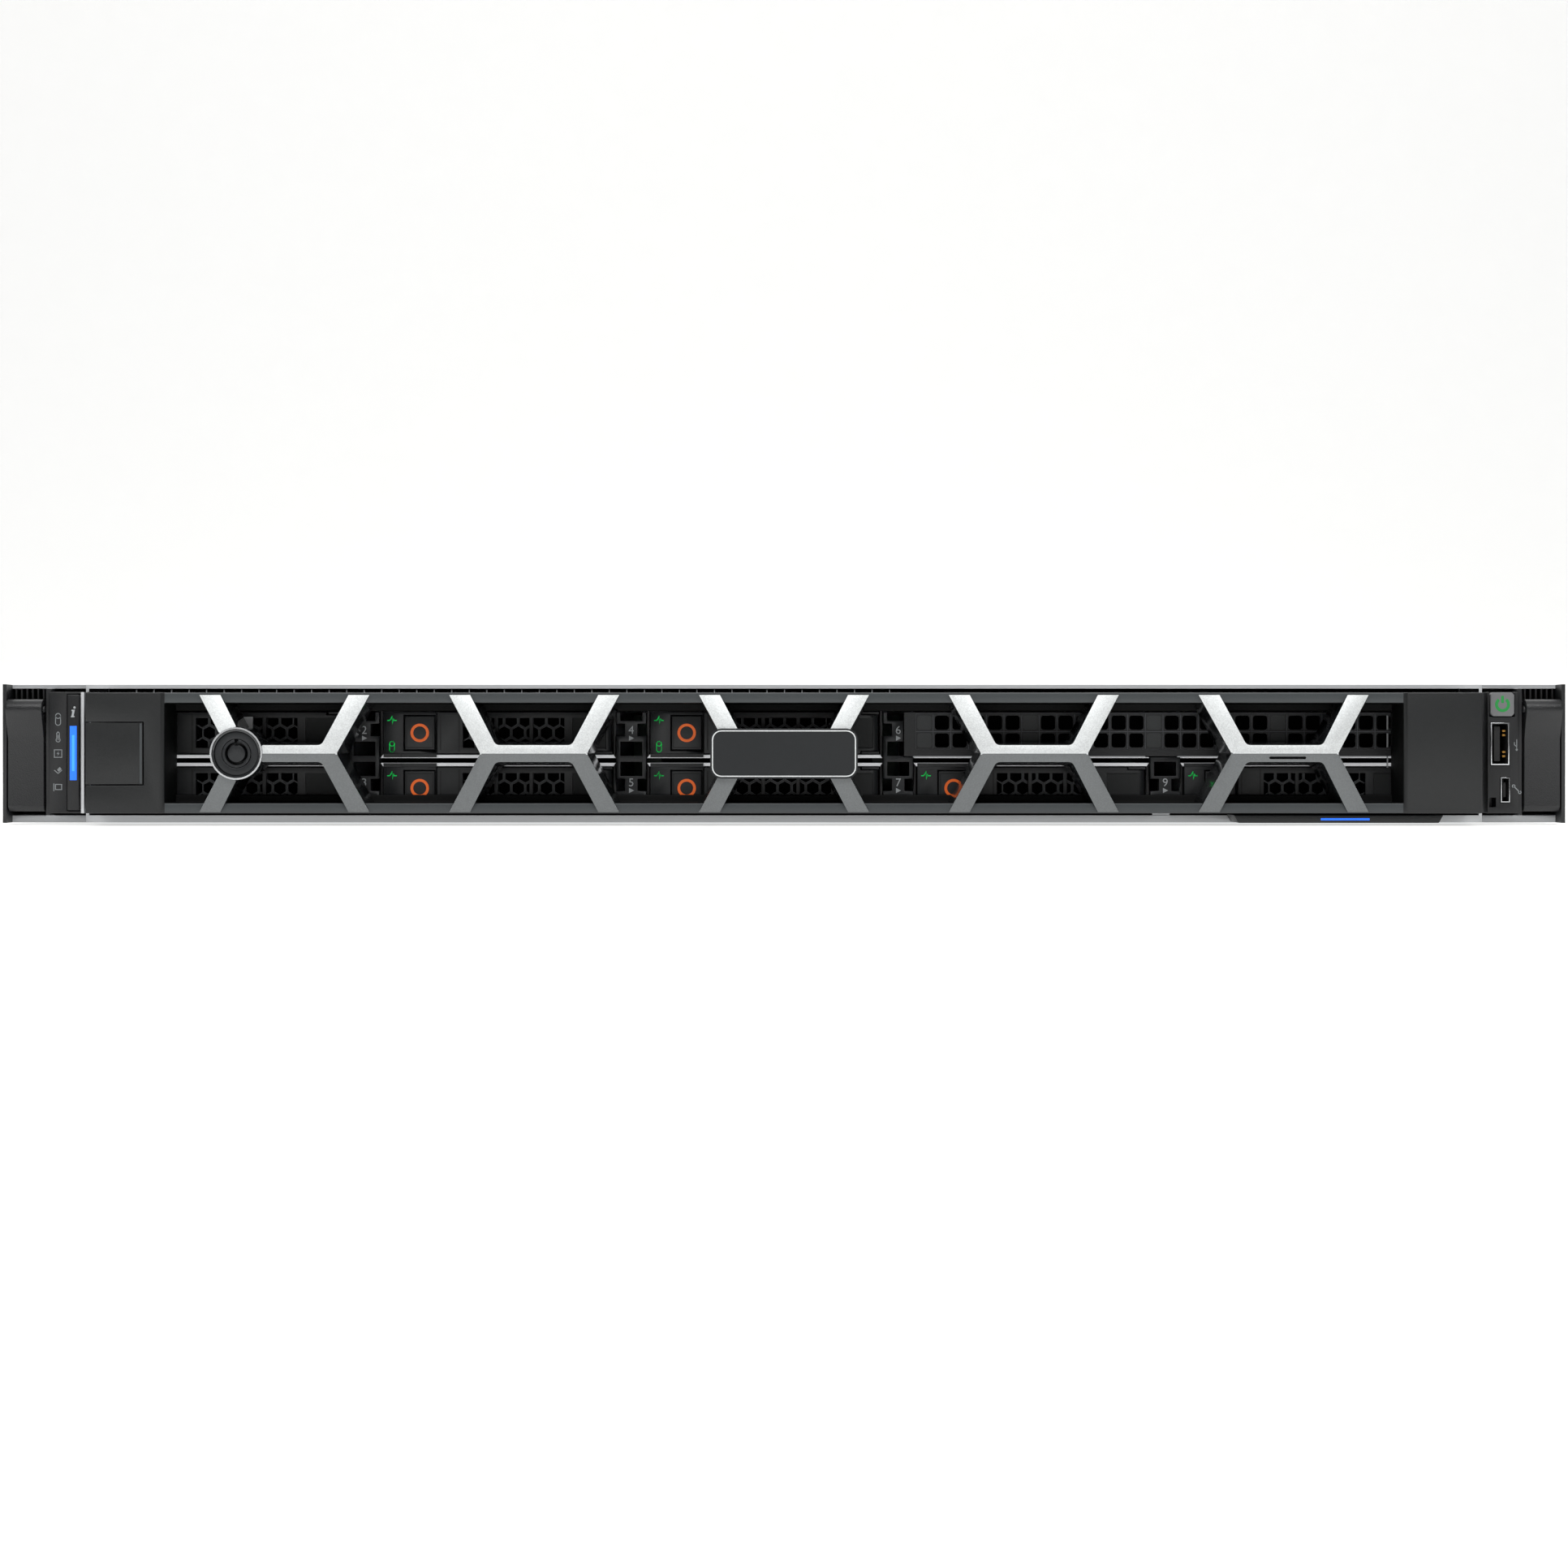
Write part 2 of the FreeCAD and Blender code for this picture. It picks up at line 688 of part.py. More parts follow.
def blank_panel():
    """The wide panel with two rows of square vent holes."""
    body = new_body()
    pad(body, outline(body, "XZ_Plane", [
        ("0", "0"), (VENT_WIDTH, "0"), (VENT_WIDTH, "vent_height"), ("0", "vent_height")]),
        "vent_depth", backward=True)
    sheet_low, wide, tall = "vent_face", f"{VENT_WIDTH} - vent_face", "vent_height - vent_face"
    pocket(body, outline(body, "XZ_Plane", [
        (sheet_low, sheet_low), (wide, sheet_low), (wide, tall), (sheet_low, tall)],
        offset="0 - vent_depth"), "vent_depth - vent_face", backward=True)
    last = None
    for row in ("(0 - 0.5)", "0.5"):
        left = "(vent_margin + vent_pitch - vent_hole / 2 - 1.9)"
        low = f"(vent_height / 2 + 0.2 + {row} * vent_pitch - vent_hole / 2)"
        hole = pocket(body, outline(body, "XZ_Plane", [
            (left, low), (f"{left} + vent_hole", low),
            (f"{left} + vent_hole", f"{low} + vent_hole"), (left, f"{low} + vent_hole")]),
            "vent_face + 1")
        last = repeat(body, hole, "X_Axis", "vent_pitch", 25)
    body.Tip = last
    fills = []
    for index in (6, 13, 20):
        x = f"(vent_margin + {index} * vent_pitch - 1.9 - vent_pitch / 2)"
        fills.append(box((x, f"{x} + vent_pitch"), ("0", "vent_face"),
                         ("vent_face / 2", "vent_height - vent_face / 2")))
    return node("blank_panel", place(join(body, *fills), VENT, FACE, "vent_low"))


def backplane():
    """The upright board behind the drives, with plugs and air slots."""
    board = box((f"{minus(INNER)} + 4", f"{INNER} - 4"), (CAGE_END, PLANE_END),
                ("card_high + 0.4", "cage_top"))
    slots, plugs = [], []
    for index in range(-2, 3):
        middle = f"({column(index)} + carrier_width / 2)"
        for row in ROW_LOW:
            slots.append(box((f"{middle} - slot_width / 2", f"{middle} + slot_width / 2"),
                             (f"{CAGE_END} - 1", f"{PLANE_END} + 1"),
                             (f"{row} + carrier_height - slot_height", f"{row} + carrier_height - 0.4")))
            if drive_at(index, row) is None:
                continue
            plugs.append(box((f"{middle} - plug_length / 2", f"{middle} + plug_length / 2"),
                             (f"{FACE} + carrier_depth + plug_gap", CAGE_END),
                             (f"{row} + 1", f"{row} + 1 + plug_height")))
    for x in ("0 - 150", "0 - 20", "110"):
        plugs.append(box((x, f"{x} + 24"), (PLANE_END, f"{PLANE_END} + 7"),
                         ("18", "20.6")))
    return node("backplane", join(cut(board, *slots), *plugs))


# ---------------------------------------------------------------- drives

DRIVES = {(-2, "upper_row"): 1, (-2, "lower_row"): 2, (-1, "upper_row"): 3,
          (-1, "lower_row"): 4, (0, "upper_row"): 5, (0, "lower_row"): 6,
          (1, "lower_row"): 7, (2, "lower_row"): 8}


def drive_at(index, row):
    """The number of the drive in a bay, or None."""
    return DRIVES.get((index, row))


HINGE_X = "(carrier_width - handle_thick / 2 - 0.2)"
HINGE_Y = "(handle_thick / 2)"
PANE = "(block_width + handle_play + grip_width)"   # left edge of the first window


def carrier():
    """A drive in its carrier: block, button pocket, grille and hinge lugs."""
    high = "carrier_height"
    rear = "(block_depth + 1)"
    pieces = [
        box(("0", "block_width"), ("0", rear), ("0", high)),
        box(("0", "carrier_width"), (f"handle_thick + handle_play + 0.6", rear), ("0", high)),
        box(("0", "carrier_width"), (rear, "carrier_depth - 6"), ("1", f"{high} - 1")),
        box(("0.7", "carrier_width - 0.7"), (rear, "carrier_depth"), ("0", high)),
        peg("pin_radius", f"{high} - lug_sheet", HINGE_X, HINGE_Y, "lug_sheet / 2"),
    ]
    lug = ("carrier_width - knuckle", "carrier_width")
    for zs in (("0", "lug_sheet"), (f"{high} - lug_sheet", high)):
        pieces.append(box(lug, ("lug_setback", rear), zs))
    room = ("button_left - button_play", "button_left + button_width + button_play")
    rows = ("carrier_height / 2 - button_height / 2 - button_play",
            "carrier_height / 2 + button_height / 2 + button_play")
    pit = box(room, ("0 - 1", "button_thick + button_travel + 0.5"), rows)
    return cut(join(*pieces), pit)


def handle():
    """The swinging handle: grip, mesh windows, tag recess, rounded hinge end."""
    left = "(block_width + handle_play)"
    low, high = "0.15", "(carrier_height - 0.15)"
    bar = box((left, HINGE_X), ("0", "handle_thick"), (low, high))
    round_end = peg("handle_thick / 2", f"{high} - {low}", HINGE_X, HINGE_Y, low, sides=16)
    base = join(bar, round_end)
    end = ("carrier_width - knuckle - 0.45", "carrier_width + 1")
    tools = [
        box(end, ("0 - 1", "handle_thick + 1"), ("0", "lug_sheet + 0.2")),
        box(end, ("0 - 1", "handle_thick + 1"), ("carrier_height - lug_sheet - 0.2",
                                                 "carrier_height + 1")),
        peg("pin_radius + pin_play", "carrier_height + 2", HINGE_X, HINGE_Y, "0 - 1"),
        box(("tag_left", "tag_left + tag_width"), ("0 - 1", "tag_sink"),
            ("window_rail", "carrier_height - window_rail")),
    ]
    for index in range(3):
        x = f"({PANE} + {index} * (window_width + window_rib))"
        tools.append(box((x, f"{x} + window_width"), ("0 - 1", "handle_thick + 1"),
                         ("window_rail", "carrier_height - window_rail")))
    return cut(base, *tools)


def drives():
    """Eight carriers, each with its handle and its release button."""
    shell, lever = carrier(), handle()
    zs = ("carrier_height / 2 - button_height / 2", "carrier_height / 2 + button_height / 2")
    push = box(("button_left", "button_left + button_width"), ("0.2", "button_thick"), zs)
    for (index, row), count in DRIVES.items():
        spot = dict(x=column(index), y=FACE, z=row)
        node(f"drive_carrier_{count}", copy_of(shell, **spot))
        node(f"drive_handle_{count}", copy_of(lever, **spot))
        node(f"drive_button_{count}", copy_of(push, **spot))


# ---------------------------------------------------------------- bezel

RAIL = f"({CREST} + rail_setback)"
BLOCK = f"({RAIL} - frame_bevel)"
BEZEL_END = f"({RAIL} + bezel_depth)"
BEZEL_HALF = f"({HALF} - bezel_gap)"
WINDOW = f"({BEZEL_HALF} - bezel_block)"
UNIT_PITCH = f"(({WINDOW} - unit_margin - unit_end) / 2)"
LOCK = f"(0 - 2 * {UNIT_PITCH} - lock_offset)"


def bezel_frame():
    """Two end blocks and two rails round a stepped window."""
    zs = ("bezel_low", "bezel_high")
    rails = box((minus(WINDOW), WINDOW), (RAIL, BEZEL_END), zs)
    pieces = [rails]
    for side in (1, -1):
        a, b = (WINDOW, BEZEL_HALF) if side > 0 else (minus(BEZEL_HALF), minus(WINDOW))
        ridge = f"({WINDOW} + frame_bevel)" if side > 0 else f"(0 - {WINDOW} - frame_bevel)"
        near, far = (ridge, b) if side > 0 else (a, ridge)
        edge = WINDOW if side > 0 else minus(WINDOW)
        corner = BEZEL_HALF if side > 0 else minus(BEZEL_HALF)
        end = prism("XY_Plane", [(edge, BEZEL_END), (corner, BEZEL_END), (corner, BLOCK),
                                 (ridge, BLOCK), (edge, RAIL)], "bezel_high - bezel_low")
        pieces.append(place(end, z="bezel_low"))
    for z in ("bezel_low + 6", "bezel_high - 6 - hook_height"):
        pieces.append(box((BEZEL_HALF, f"{BEZEL_HALF} + hook_reach"),
                          (f"{BEZEL_END} - 5", BEZEL_END), (z, f"{z} + hook_height")))
    pieces.append(box((f"0 - {BEZEL_HALF} - hook_reach", minus(BEZEL_HALF)),
                      (f"{BEZEL_END} - 5", BEZEL_END),
                      (f"{MIDDLE} - hook_height / 2", f"{MIDDLE} + hook_height / 2")))
    holes = [
        box((minus(WINDOW), WINDOW), (f"{RAIL} - 1", f"{BEZEL_END} - throat_depth"),
            ("window_low", "window_high")),
        box((minus(WINDOW), WINDOW), (f"{RAIL} - 1", f"{BEZEL_END} + 1"),
            ("throat_low", "throat_high")),
        box((f"0 - {BEZEL_HALF} - 1", f"release_width + release_play - {BEZEL_HALF}"),
            (f"{BLOCK} - 1", f"{BLOCK} + release_thick + release_travel + 0.5"),
            (f"{MIDDLE} - release_height / 2 - release_play",
             f"{MIDDLE} + release_height / 2 + release_play")),
    ]
    return node("bezel_frame", cut(join(*pieces), *holes))


def release_button():
    """The square push at the left end of the bezel, with a raised edge."""
    left = minus(BEZEL_HALF)
    right = f"(release_width - {BEZEL_HALF})"
    zs = (f"{MIDDLE} - release_height / 2", f"{MIDDLE} + release_height / 2")
    slab = box((left, right), (f"{BLOCK} + 0.3", f"{BLOCK} + release_thick"), zs)
    edge = box((f"{right} - 1.1", right), (BLOCK, f"{BLOCK} + release_thick"), zs)
    return node("release_button", join(slab, edge))


def unit_outline():
    """The corners of an H-shaped unit, with its waist across the middle."""
    end, tip = "unit_end", "unit_tip"
    tall, thin = "(unit_height / 2)", "(waist / 2)"
    inner = "(unit_end - bar_width)"
    lean = f"(({end} - {tip}) / {tall})"
    knee = f"({tip} - bar_width + {lean} * {thin})"
    return [(end, tall), (inner, tall), (knee, thin), (minus(knee), thin),
            (minus(inner), tall), (minus(end), tall), (minus(tip), "0"),
            (minus(end), minus(tall)), (minus(inner), minus(tall)),
            (minus(knee), minus(thin)), (knee, minus(thin)), (inner, minus(tall)),
            (end, minus(tall)), (tip, "0")]


def unit():
    """One folded H-shaped bar, its crest at y = 0, with rounded inner corners."""
    body = new_body()
    block = pad(body, outline(body, "XZ_Plane", unit_outline()), "bar_depth",
                backward=True, draft="bar_draft")
    doc.recompute()
    corners = []
    for index, edge in enumerate(block.Shape.Edges, 1):
        ends = edge.Vertexes
        if len(ends) != 2 or abs(ends[0].Y - ends[1].Y) < number("bar_depth / 2"):
            continue
        front = min(ends, key=lambda spot: spot.Y)
        if abs(abs(front.Z) - number("waist / 2")) < 1e-3:
            corners.append(f"Edge{index}")
    rounded = body.newObject("PartDesign::Fillet", "Fillet")
    rounded.Base = (block, corners)
    bind(rounded, Radius="bar_round")
    high = "(unit_height / 2)"
    drop = f"(fold_drop * ({high} + 3) / {high})"
    pocket(body, outline(body, "YZ_Plane", [
        ("0 - 2", f"0 - {high} - 3"), (drop, f"0 - {high} - 3"), ("0", "0"),
        (drop, f"{high} + 3"), ("0 - 2", f"{high} + 3")]), "1", through=True)
    doc.recompute()
    return body


def bezel_bars():
    """Five H-shaped bars that lap over the rails at their ends."""
    source = unit()
    wide = ("0 - unit_end - bar_width", "unit_end + bar_width")
    back = ("rail_setback", "bar_depth + 1")
    trims = [box(wide, back, (f"window_high - lap_play - {MIDDLE}", "unit_height")),
             box(wide, back, ("0 - unit_height", f"window_low + lap_play - {MIDDLE}")),
             box(wide, ("0 - 1", "bar_depth + 1"), ("unit_height / 2", "unit_height")),
             box(wide, ("0 - 1", "bar_depth + 1"), ("0 - unit_height", "0 - unit_height / 2"))]
    source = cut(source, *trims)
    units = [copy_of(source, x=f"{index} * {UNIT_PITCH}", y=CREST, z=MIDDLE)
             for index in range(-2, 3)]
    ring = rod("lock_radius", "bar_depth", LOCK, CREST, MIDDLE)
    units[0] = cut(join(units[0], ring), rod("lock_radius - lock_ring", "bar_depth + 4",
                                             LOCK, f"{CREST} - 1", MIDDLE))
    slot = box((f"2 * {UNIT_PITCH} - 4.7", f"2 * {UNIT_PITCH} + 6.5"), (f"{CREST} - 1", f"{CREST} + 4"),
               (f"{MIDDLE} - 1.7", f"{MIDDLE} - 0.9"))
    units[4] = cut(units[4], slot)
    return node("bezel_bars", bundle(*units))


def lock():
    """The round lock: its barrel, and the keyed core with the cam behind."""
    barrel = cut(rod("lock_radius - lock_ring - lap_play", "lock_depth - lock_sink",
                     LOCK, f"{CREST} + lock_sink", MIDDLE),
                 rod("core_radius + core_play", "lock_depth + 2", LOCK,
                     f"{CREST} - 1", MIDDLE))
    node("lock_barrel", barrel)
    face = f"({CREST} + lock_sink)"
    core = rod("core_radius", "lock_depth - lock_sink + 0.3 + cam_sheet", LOCK, face, MIDDLE)
    groove = cut(rod("key_outer", "key_depth + 1", LOCK, f"{face} - 1", MIDDLE),
                 rod("key_inner", "key_depth + 3", LOCK, f"{face} - 2", MIDDLE))
    notch = box((f"{LOCK} - key_notch / 2", f"{LOCK} + key_notch / 2"),
                (f"{face} - 1", f"{face} + key_depth"),
                (f"{MIDDLE} + key_inner - 0.2", f"{MIDDLE} + core_radius + 1"))
    cam = box((f"{LOCK} - cam_width / 2", f"{LOCK} + cam_width / 2"),
              (f"{CREST} + lock_depth + 0.3", f"{CREST} + lock_depth + 0.3 + cam_sheet"),
              (f"{MIDDLE} - core_radius + 0.6", f"{MIDDLE} + cam_reach"))
    node("lock_core", join(cut(core, groove, notch), cam))


# ---------------------------------------------------------------- ears

def ear():
    """The right-hand ear: rack flange, sheets, end wall, lever pin, wall leg."""
    inner = f"({LEVER_IN} + ear_wall)"
    outer = f"({TIP} - ear_wall)"
    tall = ("0", "chassis_height")
    pieces = [
        box((HALF, TIP), (f"{RACK} - ear_sheet", RACK), tall),
        box((HALF, outer), (SHEETS, f"{RACK} - ear_sheet"), (LEDGE, "chassis_height")),
        box((HALF, outer), (SHEETS, f"{RACK} - ear_sheet"), ("0", "hem_height")),
        box((outer, TIP), (EARS, f"{RACK} - ear_sheet"), tall),
        box((LEVER_IN, inner), (f"{EARS} + 1", f"{RACK} - ear_sheet"), ("hem_height", LEDGE)),
        box((HALF, f"{HALF} + ear_wall"), (RACK, f"{RACK} + bracket_leg"),
            ("ear_low", "ear_high")),
        peg("lever_pin", f"{outer} - {inner}", inner, PIN_Y, "nose_height", "x"),
    ]
    return cut(join(*pieces), rod("rack_hole", "ear_sheet + 2", f"{HALF} + hole_reach",
                                  f"{RACK} - ear_sheet - 1", MIDDLE))


PIN_Y = f"({EARS} + 0.1)"


def slam_lever():
    """The right-hand latch lever: rounded nose, face plate, side flanges, bore."""
    a = f"({LEVER_IN} + ear_wall + lever_play)"
    b = f"({TIP} - ear_wall - lever_play)"
    plate = prism("YZ_Plane", [
        (EARS, "nose_height"), (EARS, "lever_low + 1.4"), (f"{EARS} + 0.9", "lever_low"),
        (f"{EARS} + lever_sheet", "lever_low"), (f"{EARS} + lever_sheet", "nose_height"),
        ], f"{b} - {a}")
    nose = rod("nose_radius", f"{b} - {a}", a, PIN_Y, "nose_height", "x")
    swell = prism("YZ_Plane", [
        (f"{EARS} - nose_radius * 0.82", "nose_height - nose_radius * 0.45"), (EARS, "nose_height - 9"),
        (f"{EARS} + lever_sheet", "nose_height - 9"), (f"{EARS} + lever_sheet", "nose_height")],
        f"{b} - {a}")
    pieces = [place(plate, x=a), nose, place(swell, x=a)]
    for x in (a, f"({b} - lever_flange)"):
        side = prism("YZ_Plane", [
            (f"{EARS} + 1", "lever_low + 0.6"), (f"{EARS} + lever_side", "lever_low + 4"),
            (f"{EARS} + lever_side", "nose_height - 12"), (f"{EARS} + 1", "nose_height - 6")],
            "lever_flange")
        pieces.append(place(side, x=x))
    bore = peg("lever_pin + lever_pin_play", f"{b} - {a} + 2", f"{a} - 1", PIN_Y,
               "nose_height", "x")
    return cut(join(*pieces), bore)


def panel_block():
    """The housing of a control panel beside the right-hand wall."""
    return box((HALF, LEVER_IN), (EARS, f"{RACK} - ear_sheet"), ("ear_low", "ear_high"))


def control_panels():
    """Both panels with the pockets for their controls, and the controls."""
    edge = f"({HALF} + control_play)"
    strip = (f"0 - {edge} - strip_width", minus(edge))
    left = cut(mirrored(panel_block()), box(
        (f"{strip[0]} - control_play", f"{strip[1]} + control_play"),
        (f"{EARS} - 1", f"{EARS} + control_sink"),
        ("strip_low - control_play", "strip_high + control_play")))
    node("left_control_panel", left)
    node("id_button", box(strip, (f"{EARS} - strip_proud", f"{EARS} + strip_thick"),
                          ("strip_low", "strip_high")))
    power = (f"{HALF} + power_left", f"{HALF} + power_left + power_side")
    usb = (f"{HALF} + usb_left", f"{HALF} + usb_left + usb_width")
    micro = (f"{HALF} + micro_left", f"{HALF} + micro_left + micro_width")
    oval = (f"{HALF} + oval_left", f"{HALF} + oval_left + oval_width")
    pits = [
        box((f"{power[0]} - control_play", f"{power[1]} + control_play"),
            (f"{EARS} - 1", f"{EARS} + control_sink"),
            ("power_low - control_play", "power_low + power_side + control_play")),
        box(usb, (f"{EARS} - 1", f"{EARS} + usb_depth"), ("usb_low", "usb_low + usb_height")),
        box(micro, (f"{EARS} - 1", f"{EARS} + usb_depth / 2"),
            ("micro_low", "micro_low + micro_height")),
        box(oval, (f"{EARS} - 1", f"{EARS} + 5"), ("oval_low", "oval_low + oval_height")),
    ]
    node("right_control_panel", cut(panel_block(), *pits))
    node("power_button", soften(
        box(power, (f"{EARS} - strip_proud", f"{EARS} + strip_thick"),
            ("power_low", "power_low + power_side")), "0.8", along_y, "Part::Chamfer"))
    return usb, micro


def shell_box(xs, ys, zs, wall):
    """A thin-walled connector shell, open at the front or rear."""
    return cut(box(xs, ys, zs), box((f"{xs[0]} + {wall}", f"{xs[1]} - {wall}"),
                                    (f"{ys[0]} - 1", f"{ys[1]} - {wall}"),
                                    (f"{zs[0]} + {wall}", f"{zs[1]} - {wall}")))


def rear_shell(xs, depth, zs, wall):
    """A connector shell that opens through the rear wall."""
    front = f"({REAR} - {depth})"
    return cut(box(xs, (front, f"{REAR} + port_proud"), zs),
               box((f"{xs[0]} + {wall}", f"{xs[1]} - {wall}"), (f"{front} + 2", f"{REAR} + 1"),
                   (f"{zs[0]} + {wall}", f"{zs[1]} - {wall}")))


def port_sockets(usb, micro):
    """Front USB and service sockets, and the sockets of the rear wall."""
    made = []
    front = shell_box(usb, (f"{EARS} - 0.3", f"{EARS} + usb_depth"),
                      ("usb_low", "usb_low + usb_height"), "usb_shell")
    tongue = box((f"{usb[0]} + usb_shell + 0.8", f"{usb[0]} + usb_shell + 0.8 + usb_tongue"),
                 (f"{EARS} + 1", f"{EARS} + usb_depth"),
                 ("usb_low + 1.2", "usb_low + usb_height - 1.2"))
    made.append(join(front, tongue))
    service = shell_box(micro, (f"{EARS} - 0.3", f"{EARS} + usb_depth / 2"),
                        ("micro_low", "micro_low + micro_height"), "0.4")
    pin = box((f"{micro[0]} + 1", f"{micro[1]} - 1"), (f"{EARS} + 1", f"{EARS} + usb_depth / 2"),
              ("micro_low + 1.6", "micro_low + micro_height - 1.6"))
    made.append(join(service, pin))
    behind = (f"{REAR} - jack_depth", f"{REAR} + port_proud")
    block = box((f"{JACKS} - jack_width / 2",
                 f"{JACKS} + (jack_count - 1) * jack_pitch + jack_width / 2"),
                behind, (BOARD_TOP, f"{BOARD_TOP} + jack_height"))
    mouths = []
    for index in range(5):
        middle = f"({JACKS} + {index} * jack_pitch)"
        mouths.append(box((f"{middle} - jack_mouth / 2", f"{middle} + jack_mouth / 2"),
                          (f"{REAR} - jack_depth + 5", f"{REAR} + 2"),
                          (f"{BOARD_TOP} + jack_rim", f"{BOARD_TOP} + jack_height - jack_rim")))
    made.append(cut(block, *mouths))
    stack = rear_shell((USB_X, f"{USB_X} + rear_usb_width"), "jack_depth",
                       (BOARD_TOP, f"{BOARD_TOP} + rear_usb_height"), "usb_shell")
    tongues = []
    for low in ("0.25", "0.5", "0.75"):
        tall = "1" if low == "0.5" else "usb_tongue"
        z = f"({BOARD_TOP} + rear_usb_height * {low} - {tall} / 2)"
        tongues.append(box((f"{USB_X} + usb_shell", f"{USB_X} + rear_usb_width - usb_shell"),
                           (f"{REAR} - jack_depth + 1", f"{REAR} - 1"), (z, f"{z} + {tall}")))
    made.append(join(stack, *tongues))
    made.append(box((VIDEO_X, f"{VIDEO_X} + video_width"),
                    (f"{REAR} - video_depth", f"{REAR} + port_proud"),
                    (BOARD_TOP, f"{BOARD_TOP} + video_height")))
    return node("port_sockets", bundle(*made))


def info_tag():
    """The pull-out card: a bevelled pull with its thin tongue behind."""
    right = f"({CARD} + card_width)"
    pull = prism("XZ_Plane", [
        (f"{CARD} + card_bevel / 3", "card_low"), (f"{right} - card_bevel / 3", "card_low"),
        (right, "card_high"), (CARD, "card_high")], "card_reach - 0.2", backward=True)
    place(pull, y=f"{SHEETS} - card_reach")
    low = "(floor_sheet + 0.3)"
    tongue = box((f"{CARD} + card_inset", f"{right} - card_inset"),
                 (f"{SHEETS} - 1", f"{SHEETS} + card_length"), (low, f"{low} + card_sheet"))
    return node("info_tag", join(pull, tongue))


# ---------------------------------------------------------------- inside

FAN_LOW = "(floor_sheet + tray_sheet)"
FAN_Z = f"({FAN_LOW} + fan_height / 2)"


def fan_x(index):
    """The middle of a fan."""
    return f"(({index} - (fan_count - 1) / 2) * fan_pitch)"


def fan_frames():
    """Fan housings with struts and motors on one tray with baffle plates."""
    made = [box((f"{minus(INNER)} + 0.5", f"{INNER} - 0.5"), (FANS, FANS_END),
                ("floor_sheet", FAN_LOW))]
    motor = f"({FANS} + rotor_inset + hub_depth + motor_gap)"
    bores = []
    for index in range(4):
        x = fan_x(index)
        made.append(box((f"{x} - fan_width / 2", f"{x} + fan_width / 2"), (FANS, FANS_END),
                        (FAN_LOW, f"{FAN_LOW} + fan_height")))
        bores.append(rod("fan_bore", "fan_depth + 2", x, f"{FANS} - 1", FAN_Z))
    for xs in ((f"{minus(INNER)} + 0.5", f"{fan_x(0)} - fan_width / 2"),
               (f"{fan_x(3)} + fan_width / 2", f"{INNER} - 0.5")):
        made.append(box(xs, (FANS, f"{FANS} + tray_sheet"), (FAN_LOW, f"{FAN_LOW} + fan_height")))
    hollow = cut(join(*made), *bores)
    inner = []
    for index in range(4):
        x = fan_x(index)
        ys = (f"{FANS_END} - 2.4", FANS_END)
        inner.append(box((f"{x} - fan_bore - 0.2", f"{x} + fan_bore + 0.2"), ys,
                         (f"{FAN_Z} - 1.2", f"{FAN_Z} + 1.2")))
        inner.append(rod("hub_radius - 1", f"{FANS_END} - {motor}", x, motor, FAN_Z))
    return node("fan_frames", join(hollow, *inner))


def fan_rotor():
    """A hub with five pitched blades, front of the hub at y = 0."""
    hub = rod("hub_radius", "hub_depth", "0", "0", "0")
    blades = []
    for index in range(5):
        blade = doc.addObject("Part::Box", "blade")
        bind(blade, Length="1.1", Width="hub_depth - 8", Height="blade_tip - hub_radius + 0.6")
        spin = FreeCAD.Rotation(V(0, 1, 0), index * 360 / 5)
        pitch = FreeCAD.Rotation(V(0, 0, 1), 32)
        blade.Placement = FreeCAD.Placement(V(0, 0, 0), spin).multiply(
            FreeCAD.Placement(V(5.2, 4.6, number("hub_radius - 2.6")), pitch))
        blades.append(blade)
    return join(hub, *blades)


def fans():
    """The fan frames and their four rotors."""
    fan_frames()
    source = fan_rotor()
    for index in range(4):
        node(f"fan_rotor_{index + 1}", copy_of(source, x=fan_x(index),
                                               y=f"{FANS} + rotor_inset", z=FAN_Z))


SPLIT = f"({REAR} - supply_depth - 4)"
SLOT_Y = f"({BOARD} + sink_setback - 6)"


def module_x(index):
    """The left face of a memory module, six on each side of the heat sink."""
    side = "(sink_shift + sink_width / 2 + module_gap)"
    if index >= 6:
        return f"({side} + {index - 6} * module_pitch)"
    return f"(2 * sink_shift - {side} - {index} * module_pitch - module_sheet)"


# edge of the board that a part is set from, then its place, size and height
BOARD_PARTS = ((BOARD_LEFT, 6, 96, 16, 26, 9), (BOARD_LEFT, 4, 30, 12, 60, 9),
               (BOARD_LEFT, 6, 8, 24, 9, 9), (BOARD_SPLIT, -48, 165, 34, 34, 11),
               ("0", -40, 210, 20, 20, 3.2), ("0", -60, 170, 16, 24, 5),
               (BOARD_RIGHT, -112, 12, 60, 9, 8), (BOARD_RIGHT, -112, 40, 22, 22, 6),
               (BOARD_RIGHT, -62, 60, 40, 14, 12), (BOARD_RIGHT, -62, 130, 50, 18, 14))


